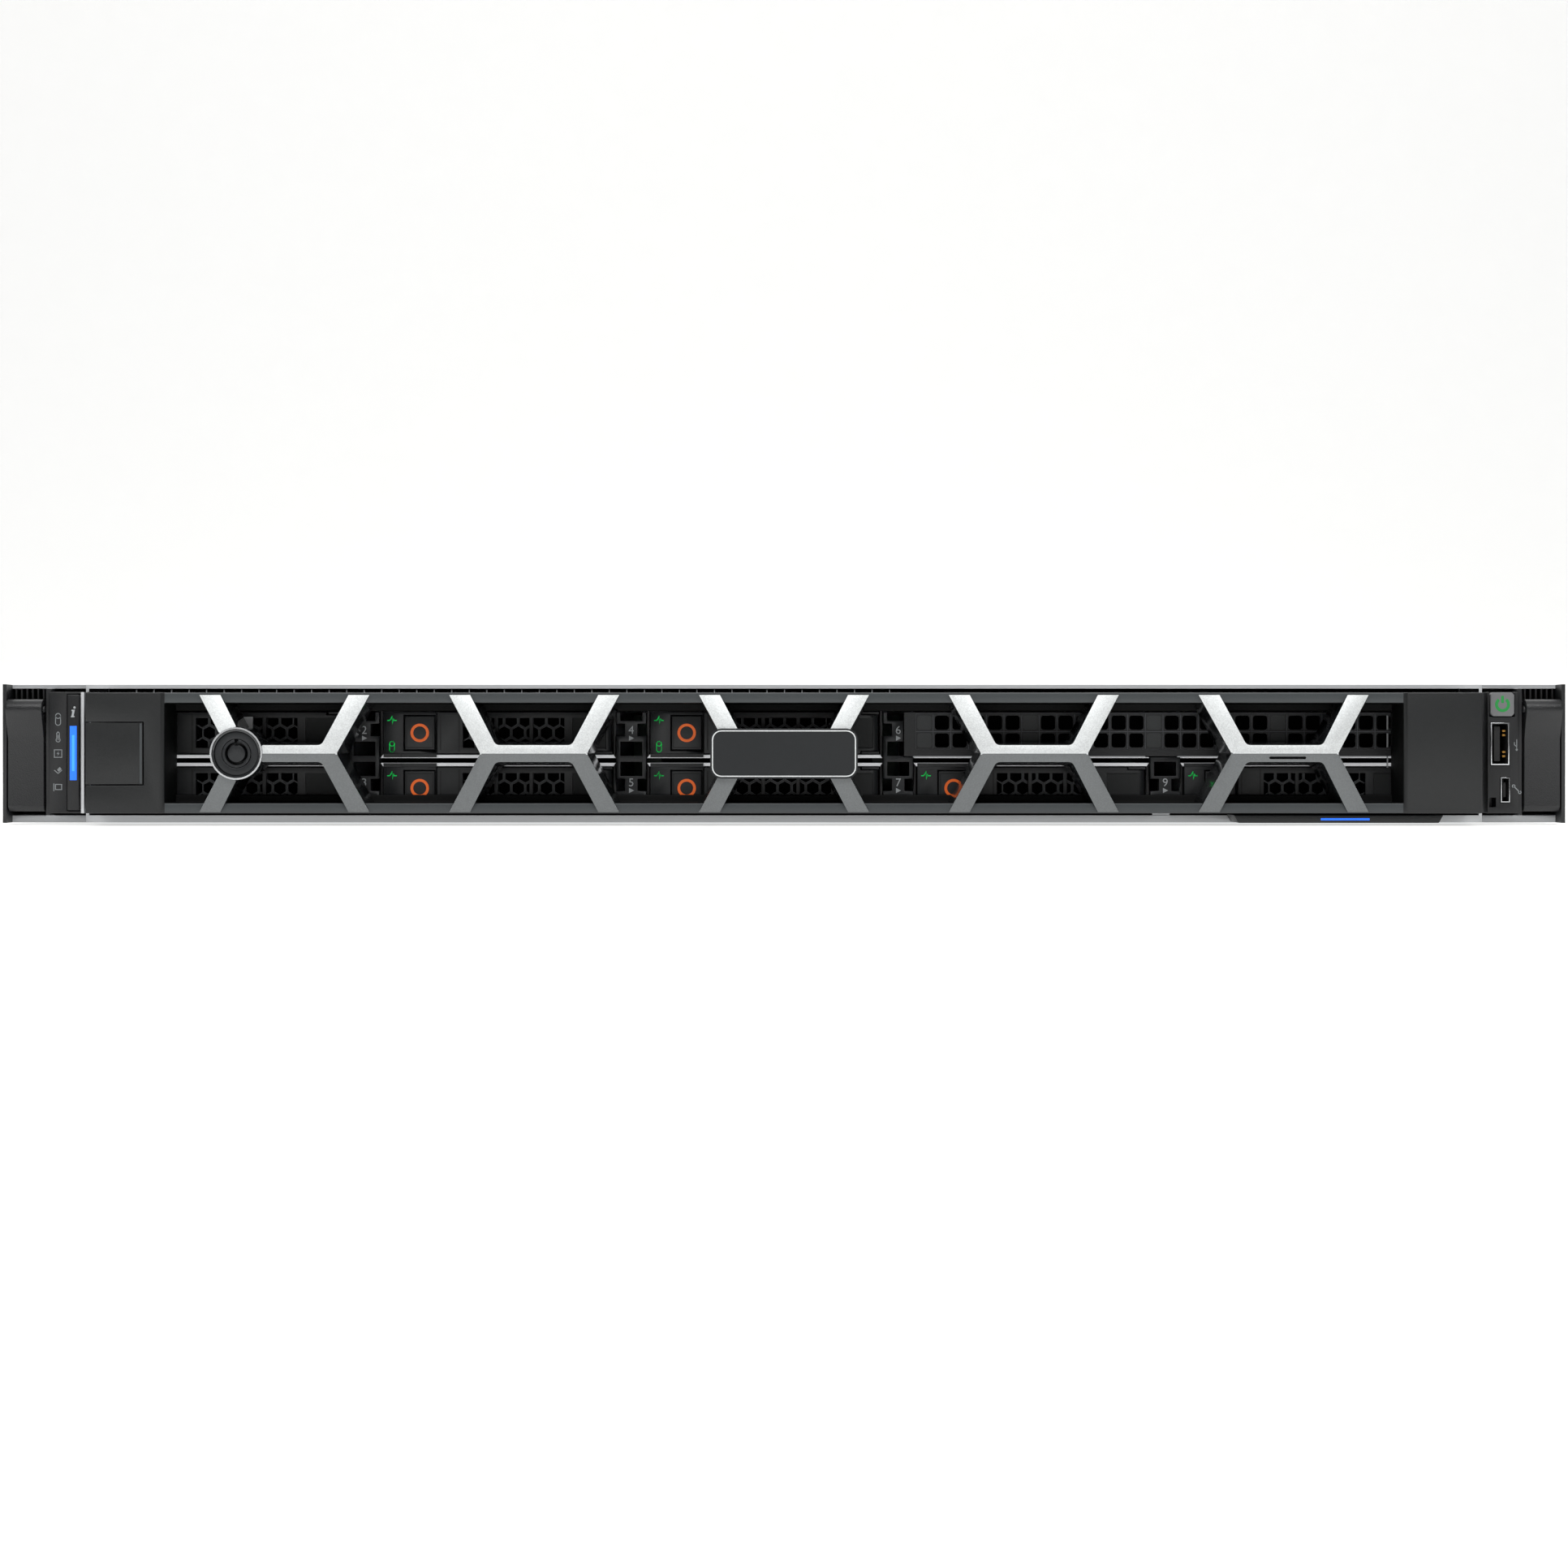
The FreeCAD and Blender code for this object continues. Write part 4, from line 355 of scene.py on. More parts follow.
def settle(mesh: bpy.types.Mesh, name: str, finishes: Sequence[Finish], body: str,
           replaces: Iterable[str] = (), sharp: float = SHARP) -> bpy.types.Object:
    """Turn a finished mesh into a piece on its body.

    Args:
        mesh: the mesh, in metres in the frame.
        name: the piece's name.
        finishes: the finishes that its faces index.
        body: the CAD body it moves with.
        replaces: CAD nodes it stands for.
        sharp: the angle, in degrees, past which an edge is shaded sharp.

    Returns:
        The piece.
    """
    mesh.name = name
    if not mesh.materials:
        for finish in finishes:
            mesh.materials.append(finish.material())
    mesh.shade_smooth()
    mesh.set_sharp_from_angle(angle=math.radians(sharp))
    piece = bpy.data.objects.new(name, mesh)
    bpy.context.scene.collection.objects.link(piece)
    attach(piece, body)
    if replaces:
        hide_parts(*replaces)
    LOG.info("%s on %s: %d faces", name, body, len(mesh.polygons))
    return piece


@dataclass
class Stock:
    """Blocks, plates, rods and strokes gathered into one mesh, in millimetres."""

    mesh: bmesh.types.BMesh = field(default_factory=bmesh.new)

    def plate(self, points: Sequence[Span], ys: Span, finish: int = 0) -> None:
        """Thicken an XZ outline along Y.

        Args:
            points: the outline's corners, in either direction.
            ys: front and rear.
            finish: index of the finish.
        """
        area = sum(a[0] * b[1] - b[0] * a[1] for a, b in zip(points, points[1:] + points[:1]))
        ring = list(points) if area > 0 else list(reversed(points))
        rows = [[self.mesh.verts.new((x, y, z)) for x, z in ring] for y in ys]
        self._close(rows, finish)

    def _close(self, rows: list[list[bmesh.types.BMVert]], finish: int) -> None:
        """Join two rings of corners into a closed solid.

        Args:
            rows: the front ring and the rear ring.
            finish: index of the finish.
        """
        front, back = rows
        count = len(front)
        faces = [self.mesh.faces.new(front), self.mesh.faces.new(reversed(back))]
        for index in range(count):
            after = (index + 1) % count
            faces.append(self.mesh.faces.new((front[after], front[index],
                                              back[index], back[after])))
        for face in faces:
            face.material_index = finish

    def block(self, xs: Span, ys: Span, zs: Span, finish: int = 0) -> None:
        """A straight block between its limits."""
        self.plate(square(xs, zs), ys, finish)

    def rod(self, x: float, z: float, radius: float, ys: Span, finish: int = 0,
            sides: int = 24) -> None:
        """A disc or rod along Y.

        Args:
            x: centre across.
            z: centre height.
            radius: its radius.
            ys: front and rear.
            finish: index of the finish.
            sides: number of sides.
        """
        turn = math.tau / sides
        self.plate([(x + radius * math.cos(turn * i), z + radius * math.sin(turn * i))
                    for i in range(sides)], ys, finish)

    def band(self, path: Sequence[Span], width: float, ys: Span, finish: int = 0,
             closed: bool = False) -> None:
        """A flat stroke of one width along an XZ path.

        Args:
            path: the points of the stroke's middle.
            width: the stroke's width.
            ys: front and rear.
            finish: index of the finish.
            closed: whether the last point joins the first.
        """
        spots = [Vector(point) for point in path]
        count, half = len(spots), width / 2
        sides: list[tuple[Vector, Vector]] = []
        for index, spot in enumerate(spots):
            before = spots[index - 1] if index or closed else None
            after = spots[(index + 1) % count] if index < count - 1 or closed else None
            along = [(b - a).normalized() for a, b in ((before, spot), (spot, after))
                     if a is not None and b is not None]
            mean = sum(along, Vector((0, 0)))
            mean = mean.normalized() if mean.length > 1e-6 else along[0]
            across = Vector((-mean.y, mean.x))
            stretch = max(0.45, abs(along[0].dot(mean)))
            sides.append((spot + across * half / stretch, spot - across * half / stretch))
        rows = [[(self.mesh.verts.new((a.x, y, a.y)), self.mesh.verts.new((b.x, y, b.y)))
                 for a, b in sides] for y in ys]
        steps = range(count if closed else count - 1)
        quads = []
        for index in steps:
            (fa, fb), (ga, gb) = rows[0][index], rows[0][(index + 1) % count]
            (ra, rb), (sa, sb) = rows[1][index], rows[1][(index + 1) % count]
            quads += [(fb, gb, ga, fa), (ra, sa, sb, rb), (fa, ga, sa, ra), (gb, fb, rb, sb)]
        if not closed:
            (fa, fb), (ra, rb) = rows[0][0], rows[1][0]
            quads.append((fb, fa, ra, rb))
            (fa, fb), (ra, rb) = rows[0][-1], rows[1][-1]
            quads.append((fa, fb, rb, ra))
        for quad in quads:
            self.mesh.faces.new(quad).material_index = finish

    def border(self, xs: Span, zs: Span, width: float, ys: Span) -> None:
        """A stroke of one width round a rectangle."""
        self.band(square(xs, zs), width, ys, closed=True)

    def drum(self, x: float, z: float, radius: float, zs: Span, width: float, ys: Span) -> None:
        """The outline of an upright drum: its lid, its lower rim and its sides.

        Args:
            x: centre across.
            z: the height that zs starts from.
            radius: its radius.
            zs: lower and upper end.
            width: width of the stroke.
            ys: front and rear.
        """
        self.ring(x, z + zs[1], radius, width, ys, sides=14)
        self.ring(x, z + zs[0], radius, width, ys, start=180, sweep=180, sides=14)
        for side in (-radius, radius):
            self.block(around(x + side, width / 2), ys, behind(z, *zs))

    def ring(self, x: float, z: float, radius: float, width: float, ys: Span,
             finish: int = 0, start: float = 0.0, sweep: float = 360.0, sides: int = 32) -> None:
        """A ring, or a part of one, round a point.

        Args:
            x: centre across.
            z: centre height.
            radius: radius of the ring's middle line.
            width: width of the ring.
            ys: front and rear.
            finish: index of the finish.
            start: first angle in degrees from +X.
            sweep: how far it turns, in degrees.
            sides: number of steps.
        """
        whole = sweep >= 359.9
        steps = sides if whole else sides + 1
        self.band([(x + radius * math.cos(math.radians(start + sweep * i / sides)),
                    z + radius * math.sin(math.radians(start + sweep * i / sides)))
                   for i in range(steps)], width, ys, finish, whole)

    def words(self, text: str, x: float, z: float, size: float, ys: Span,
              finish: int = 0) -> None:
        """A number, centred on a point, as flat solid digits.

        Args:
            text: the digits.
            x: centre across.
            z: centre height.
            size: height of the type.
            ys: front and rear.
            finish: index of the finish.
        """
        curve = bpy.data.curves.new("digits", "FONT")
        curve.body, curve.size = text, size
        curve.align_x, curve.align_y = "CENTER", "CENTER"
        curve.extrude = (ys[1] - ys[0]) / 2
        curve.resolution_u = 4
        holder = bpy.data.objects.new("digits", curve)
        bpy.context.scene.collection.objects.link(holder)
        bpy.context.view_layer.update()
        flat = bpy.data.meshes.new_from_object(holder)
        bpy.data.objects.remove(holder)
        upright = Matrix.Rotation(math.pi / 2, 4, "X")
        flat.transform(Matrix.Translation((x, sum(ys) / 2, z)) @ upright)
        for polygon in flat.polygons:
            polygon.material_index = finish
        self.mesh.from_mesh(flat)
        bpy.data.meshes.remove(flat)

    def soften(self, width: float, angle: float = 30.0, segments: int = 2) -> None:
        """Bevel every edge sharper than an angle."""
        bevel(self.mesh, width, angle, segments)

    def done(self, name: str, finishes: Sequence[Finish], body: str, slot: str,
             replaces: Iterable[str] = ()) -> bpy.types.Object:
        """Scale to metres and settle the piece.

        Args:
            name: the piece's name.
            finishes: the finishes that its faces index.
            body: the CAD body it moves with.
            slot: the record's material slot; not used.
            replaces: CAD nodes it stands for.

        Returns:
            The piece.
        """
        bmesh.ops.recalc_face_normals(self.mesh, faces=self.mesh.faces)
        made = bpy.data.meshes.new(name)
        self.mesh.to_mesh(made)
        self.mesh.free()
        made.transform(Matrix.Scale(MM, 4))
        return settle(made, name, finishes, body, replaces)


def bevel(mesh: bmesh.types.BMesh, width: float, angle: float, segments: int) -> None:
    """Bevel the sharp edges of a mesh.

    Args:
        mesh: the mesh to change.
        width: bevel width, in the mesh's own unit.
        angle: edges that turn more than this many degrees are bevelled.
        segments: number of strips in a bevel.
    """
    chosen = [edge for edge in mesh.edges if edge.is_manifold
              and edge.calc_face_angle(0.0) > math.radians(angle)]
    if chosen:
        bmesh.ops.bevel(mesh, geom=chosen, offset=width, segments=segments, profile=0.6,
                        affect="EDGES", clamp_overlap=True)


def dressed(node: str, finishes: Sequence[Finish], pick: Pick | None = None,
            edge: float = 0.25, segments: int = 2, back: float = 0.0,
            hollow: float = 0.0) -> bpy.types.Object:
    """A softened copy of a CAD node that stands for it.

    Args:
        node: the CAD node.
        finishes: the finishes that the faces choose from.
        pick: gives a face's finish from its centre, in millimetres, and normal.
        edge: bevel width in millimetres, 0 for none.
        segments: strips in a bevel.
        back: how far the copy is set back along Y, in millimetres.
        hollow: radius for the inner corners that run along Y, in millimetres.

    Returns:
        The piece.
    """
    source = frame["nodes"][node]
    work = bmesh.new()
    work.from_mesh(source.data)
    bmesh.ops.remove_doubles(work, verts=work.verts, dist=MERGE)
    bmesh.ops.join_triangles(work, faces=work.faces,
                             angle_face_threshold=math.radians(COPLANAR),
                             angle_shape_threshold=math.radians(SKEW))
    if hollow:
        inner = [line for line in work.edges if line.is_manifold and not line.is_convex
                 and line.calc_face_angle(0.0) > math.radians(FOLD)
                 and abs((line.verts[0].co - line.verts[1].co).normalized().y) > 0.8]
        bmesh.ops.bevel(work, geom=inner, offset=hollow * MM, segments=5, profile=0.5,
                        affect="EDGES", clamp_overlap=True)
    if edge:
        bevel(work, edge * MM, FOLD, segments)
    bmesh.ops.translate(work, verts=work.verts, vec=(0.0, back * MM, 0.0))
    for face in work.faces:
        face.material_index = pick(face.calc_center_median() / MM, face.normal) if pick else 0
    mesh = bpy.data.meshes.new(node)
    work.to_mesh(mesh)
    work.free()
    return settle(mesh, f"{node}_skin", finishes, source["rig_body"], [node],
                  SHARP if edge else FLAT)


# ------------------------------------------------------------------ patterns

class Motif(Enum):
    """What a pattern repeats."""

    BLOCK = "block"
    COMB = "six-sided cell wall"
    CELL = "tile with a rounded hole"


class Pattern:
    """A Geometry Nodes tree that repeats one motif over a field in the XZ plane."""

    SIZES = {"Columns": "NodeSocketInt", "Rows": "NodeSocketInt", "Pitch X": "NodeSocketFloat",
             "Pitch Z": "NodeSocketFloat", "Stagger": "NodeSocketFloat",
             "Start": "NodeSocketVector", "Motif Size": "NodeSocketVector"}
    HOLE_CORNER = 0.2   # corner radius of a cell's hole, over its width
    CORNER_STEPS = 4

    def __init__(self, motif: Motif, finish: Finish) -> None:
        """Build the tree.

        Args:
            motif: what the tree repeats.
            finish: the finish of every copy.
        """
        self.tree = bpy.data.node_groups.new(f"field_of_{motif.name.lower()}", "GeometryNodeTree")
        face = self.tree.interface
        self.keys = {name: face.new_socket(name, in_out="INPUT", socket_type=kind).identifier
                     for name, kind in self.SIZES.items()}
        face.new_socket("Geometry", in_out="OUTPUT", socket_type="NodeSocketGeometry")
        self.source = self._add("NodeGroupInput")
        grid = self._field()
        motif_out = {Motif.BLOCK: self._block, Motif.COMB: self._comb,
                     Motif.CELL: self._cell}[motif]()
        place = self._add("GeometryNodeInstanceOnPoints", Points=grid, Instance=motif_out)
        real = self._add("GeometryNodeRealizeInstances", Geometry=place.outputs["Instances"])
        paint = self._add("GeometryNodeSetMaterial", Geometry=real.outputs["Geometry"])
        paint.inputs["Material"].default_value = finish.material()
        self.finish = finish
        out = self._add("NodeGroupOutput")
        self.tree.links.new(paint.outputs["Geometry"], out.inputs["Geometry"])

    def _add(self, kind: str, operation: str = "", **inputs: object) -> bpy.types.Node:
        """Add a node and feed its inputs with sockets or values.

        Args:
            kind: the node's type.
            operation: its operation, for a math node.
            **inputs: sockets or values by input name, or by number as _0, _1.

        Returns:
            The node.
        """
        node = self.tree.nodes.new(kind)
        if operation:
            node.operation = operation
        for name, value in inputs.items():
            slot = node.inputs[int(name[1:])] if name[0] == "_" else node.inputs[name]
            if isinstance(value, bpy.types.NodeSocket):
                self.tree.links.new(value, slot)
            else:
                slot.default_value = value
        return node

    def _math(self, operation: str, a: Feed, b: Feed = 0.0) -> bpy.types.NodeSocket:
        """A math node's result."""
        return self._add("ShaderNodeMath", operation, _0=a, _1=b).outputs["Value"]

    def _size(self, name: str) -> bpy.types.NodeSocket:
        """One of the tree's inputs."""
        return self.source.outputs[name]

    def _field(self) -> bpy.types.NodeSocket:
        """Points of the field, from its start, every other row shifted.

        Returns:
            The points.
        """
        wide = self._math("MULTIPLY", self._math("SUBTRACT", self._size("Columns"), 1.0),
                          self._size("Pitch X"))
        tall = self._math("MULTIPLY", self._math("SUBTRACT", self._size("Rows"), 1.0),
                          self._size("Pitch Z"))
        grid = self._add("GeometryNodeMeshGrid", **{"Size X": wide, "Size Y": tall,
                                                    "Vertices X": self._size("Columns"),
                                                    "Vertices Y": self._size("Rows")})
        spot = self._add("ShaderNodeSeparateXYZ",
                         Vector=self._add("GeometryNodeInputPosition").outputs["Position"])
        along = self._math("ADD", spot.outputs["X"], self._math("DIVIDE", wide, 2.0))
        up = self._math("ADD", spot.outputs["Y"], self._math("DIVIDE", tall, 2.0))
        row = self._math("ROUND", self._math("DIVIDE", up, self._size("Pitch Z")))
        odd = self._math("MULTIPLY", self._math("MODULO", row, 2.0), self._size("Stagger"))
        flat = self._add("ShaderNodeCombineXYZ", X=self._math("ADD", along, odd), Y=0.0, Z=up)
        moved = self._add("ShaderNodeVectorMath", "ADD", _0=flat.outputs["Vector"],
                          _1=self._size("Start"))
        placed = self._add("GeometryNodeSetPosition", Geometry=grid.outputs["Mesh"],
                           Position=moved.outputs["Vector"])
        return placed.outputs["Geometry"]

    def _block(self) -> bpy.types.NodeSocket:
        """A block of the motif's size."""
        return self._add("GeometryNodeMeshCube", Size=self._size("Motif Size")).outputs["Mesh"]

    def _cell(self) -> bpy.types.NodeSocket:
        """A square tile with a rounded hole: tile, depth and hole from the size.

        Returns:
            The tile.
        """
        part = self._add("ShaderNodeSeparateXYZ", Vector=self._size("Motif Size"))
        outer = self._add("GeometryNodeCurvePrimitiveQuadrilateral", Width=part.outputs["X"],
                          Height=part.outputs["X"])
        inner = self._add("GeometryNodeCurvePrimitiveQuadrilateral", Width=part.outputs["Z"],
                          Height=part.outputs["Z"])
        soft = self._add("GeometryNodeFilletCurve", Curve=inner.outputs["Curve"],
                         Radius=self._math("MULTIPLY", part.outputs["Z"], self.HOLE_CORNER))
        soft.mode = "POLY"
        soft.inputs[1].default_value = self.CORNER_STEPS
        both = self._add("GeometryNodeJoinGeometry")
        self.tree.links.new(outer.outputs["Curve"], both.inputs["Geometry"])
        self.tree.links.new(soft.outputs["Curve"], both.inputs["Geometry"])
        flat = self._add("GeometryNodeFillCurve", Curve=both.outputs["Geometry"])
        thick = self._add("GeometryNodeExtrudeMesh", Mesh=flat.outputs["Mesh"],
                          **{"Offset Scale": part.outputs["Y"]})
        thick.inputs["Individual"].default_value = False
        turned = self._add("GeometryNodeTransform", Geometry=thick.outputs["Mesh"],
                           Rotation=(math.pi / 2, 0.0, 0.0))
        moved = self._add("GeometryNodeTransform", Geometry=turned.outputs["Geometry"],
                          Translation=self._add("ShaderNodeCombineXYZ",
                                                Y=part.outputs["Y"]).outputs["Vector"])
        return moved.outputs["Geometry"]

    def _comb(self) -> bpy.types.NodeSocket:
        """A six-sided wall with a corner up: cell radius, depth and wall from the size.

        Returns:
            The wall.
        """
        part = self._add("ShaderNodeSeparateXYZ", Vector=self._size("Motif Size"))
        ring = self._add("GeometryNodeCurvePrimitiveCircle", Resolution=6,
                         Radius=part.outputs["X"])
        wall = self._add("GeometryNodeCurvePrimitiveQuadrilateral", Width=part.outputs["Z"],
                         Height=part.outputs["Y"])
        tube = self._add("GeometryNodeCurveToMesh", Curve=ring.outputs["Curve"],
                         **{"Profile Curve": wall.outputs["Curve"]})
        turned = self._add("GeometryNodeTransform", Geometry=tube.outputs["Mesh"],
                           Rotation=(math.pi / 2, math.pi / 6, 0.0))
        return turned.outputs["Geometry"]

    def lay(self, name: str, body: str, slot: str, start: Point, count: tuple[int, int],
            pitch: Span, size: Point, stagger: float = 0.0) -> bpy.types.Object:
        """Run the tree for one field and settle it as a plain mesh.

        Args:
            name: the piece's name.
            body: the CAD body it rides.
            slot: the record's slot; not used.
            start: the first motif's centre, in millimetres.
            count: columns and rows.
            pitch: step across and up, in millimetres.
            size: the motif's size, in millimetres.
            stagger: shift of every other row, in millimetres.

        Returns:
            The piece.
        """
        holder = bpy.data.objects.new(name, bpy.data.meshes.new(name))
        bpy.context.scene.collection.objects.link(holder)
        step = holder.modifiers.new("field", "NODES")
        step.node_group = self.tree
        values = {"Columns": count[0], "Rows": count[1], "Pitch X": pitch[0] * MM,
                  "Pitch Z": pitch[1] * MM, "Stagger": stagger * MM,
                  "Start": [part * MM for part in start],
                  "Motif Size": [part * MM for part in size]}
        for word, value in values.items():
            step[self.keys[word]] = value
        bpy.context.view_layer.update()
        seen = holder.evaluated_get(bpy.context.evaluated_depsgraph_get())
        mesh = bpy.data.meshes.new_from_object(seen)
        bpy.data.objects.remove(holder)
        work = bmesh.new()
        work.from_mesh(mesh)
        bmesh.ops.recalc_face_normals(work, faces=work.faces)
        work.to_mesh(mesh)
        work.free()
        mesh.materials.clear()
        return settle(mesh, name, [self.finish], body)


# ------------------------------------------------------------------ sub-assemblies

@dataclass
class Chassis:
    """Tray, drive cage and the sheet edges at the front."""

    lip_reach: float = 100.0
    flange_x: float = 200.0
    flange_zs: Span = (30.0, 41.2)
    shelf_zs: Span = (17.0, 21.6)
    shelf_y: float = -260.0
    mouth_y: float = -269.0
    tick_start: Point = (-201.5, -277.0, 40.85)
    tick_count: int = 44
    tick_pitch: float = 5.45
    tick_size: Point = (0.3, 1.0, 0.9)
    # a near-black plate in the gap over the bezel, and two blocks at its corners that hide the
    # tray's flanges: painted shade
    gap: Box = ((-214, 214), (-276.4, -275.9), (35.6, 41.4))
    corner_x: float = 213.0
    corner_half: float = 3.0
    corner_ys: Span = (-278.42, -278.2)
    corner_zs: Span = (40.6, 41.6)
    clip: Box = ((114.4, 119.7), (-279.5, -276.5), (2.35, 3.0))
    stile: Box = ((187.7, 188.15), (-276.8, -276.3), (9.0, 34.0))

    def build(self) -> None:
        """Dress tray and cage, and lay the ticks and a near-black plate of painted shade over the
        bezel.
        """
        plain_y = corners("top_cover")[0].y - self.lip_reach

        def sheet(centre: Vector, normal: Vector) -> int:
            """Front edges painted brighter as painted light, the corner flanges black as painted
            shade.
            """
            flange = abs(centre.x) > self.flange_x and within(centre.z, self.flange_zs)
            return 0 if centre.y > plain_y else 2 if flange else int(normal.y < -0.3)

        dressed("chassis_tray", [STEEL, LIT_LIP, DARK_SEAM_AND_SHADE], sheet, edge=0.2)
        dressed("drive_cage", [STEEL, LIT_SHELF_LIP, DARK_SEAM_AND_SHADE], self._cage, edge=0.12,
                segments=1)
        Pattern(Motif.BLOCK, EDGE).lay("front_ticks", "chassis", "zinc_steel", self.tick_start,
                                       (self.tick_count, 1), (self.tick_pitch, 1.0),
                                       self.tick_size)
        shade = Stock()
        shade.block(*self.gap)
        for middle in (-self.corner_x, self.corner_x):
            shade.block(around(middle, self.corner_half), self.corner_ys, self.corner_zs)
        shade.done("front_gap_shade", [VOID_SHADE], "chassis", "dark_plastic")
        clip = Stock()
        clip.block(*self.clip)
        clip.soften(0.1)
        clip.block(*self.stile)
        clip.done("front_gap_clip", [EDGE], "chassis", "zinc_steel")

    def _cage(self, centre: Vector, normal: Vector) -> int:
        """Shelf edges bright and glowing as painted light, a dark web between them as painted
        shade, black uprights partly painted shade, zinc behind.

        Args:
            centre: a face's centre.
            normal: its normal.

        Returns:
            Index of its finish.
        """
        if normal.y < -0.5 and within(centre.z, self.shelf_zs):
            return 1 if centre.y < self.shelf_y else 2
        return 2 if centre.y < self.mouth_y else 0


@dataclass
class Bays:
    """Posts with their numbers, and the wide vent panel."""

    numbers: tuple[tuple[str, str], ...] = (("2", "3"), ("4", "5"), ("6", "7"), ("", "9"))
    number_size: float = 3.6
    number_zs: Span = (28.6, 12.3)
    arrow: Path = ((-0.7, -3.2), (0.9, -2.4), (-0.7, -1.6))
    print_depth: Span = (-0.04, 0.05)
    post_first: float = -130.65
    post_pitch: float = 83.1
    vent_first: float = 43.7
    vent_pitch: float = 5.5
    vent_columns: int = 28
    vent_zs: Span = (25.5, 31.0)
    hole: float = 4.45
    border_depth: Span = (0.0, 1.6)
    lattice_depth: Span = (0.2, 1.2)
    blind_columns: tuple[int, ...] = (0, 6, 13, 20, 27)
    blind_depth: Span = (0.35, 1.5)
    back_depth: Span = (6.5, 7.0)
    line_set: float = 0.1
    line_depth: float = 0.2
    line_width: float = 0.16

    def build(self) -> None:
        """Dress the posts, print the numbers and make the vent panel."""
        dressed("bay_dividers", [PLASTIC], edge=0.15, segments=1)
        ys = behind(corners("bay_dividers")[0].y, *self.print_depth)
        digits = Stock()
        for post, texts in enumerate(self.numbers):
            x = self.post_first + post * self.post_pitch
            for text, z in zip(texts, self.number_zs):
                if text:
                    digits.words(text, x, z, self.number_size, ys)
                    digits.plate(near(x, z, self.arrow), ys)
        digits.done("bay_numbers", [PRINT], "chassis", "dark_plastic")
        self._vent()

    def _vent(self) -> None:
        """The vent panel: a lattice of rounded cells, some of them blind, in a border, with a
        near-black sheet behind as painted shade.
        """
        low, high = corners("blank_panel")
        face, pitch, first = low.y, self.vent_pitch, self.vent_first
        last = first + (self.vent_columns - 1) * pitch
        left, right = first - pitch / 2, last + pitch / 2
        bottom, top = self.vent_zs[0] - pitch / 2, self.vent_zs[1] + pitch / 2
        edge, ys = Stock(), behind(face, *self.border_depth)
        for xs, zs in (((low.x, high.x), (low.z, bottom)), ((low.x, high.x), (top, high.z)),
                       ((low.x, left), (bottom, top)), ((right, high.x), (bottom, top))):
            edge.block(xs, ys, zs)
        edge.soften(0.15, segments=1)
        for column in self.blind_columns:
            edge.block(around(first + column * pitch, pitch / 2),
                       behind(face, *self.blind_depth), (bottom, top), 1)
        # near-black sheet behind the cells: painted shade
        edge.block((low.x, high.x), behind(face, *self.back_depth), (low.z, high.z), 2)
        edge.done("vent_border", [PLASTIC, VENT_FILL, VOID_SHADE], "chassis", "dark_plastic",
                  ["blank_panel"])
        set_in, depth = self.lattice_depth
        Pattern(Motif.CELL, PLASTIC).lay(
            "vent_lattice", "chassis", "dark_plastic", (first, face + set_in, self.vent_zs[0]),
            (self.vent_columns, 2), (pitch, pitch), (pitch, depth, self.hole))
        lines, line_y = Pattern(Motif.BLOCK, VENT_LINE), face + self.line_set
        lines.lay("vent_uprights", "chassis", "dark_plastic", (left, line_y, (bottom + top) / 2),
                  (self.vent_columns + 1, 1), (pitch, 1.0),
                  (self.line_width, self.line_depth, top - bottom))
        lines.lay("vent_levels", "chassis", "dark_plastic", ((first + last) / 2, line_y, bottom),
                  (1, 3), (1.0, pitch), (last - first + pitch, self.line_depth, self.line_width))


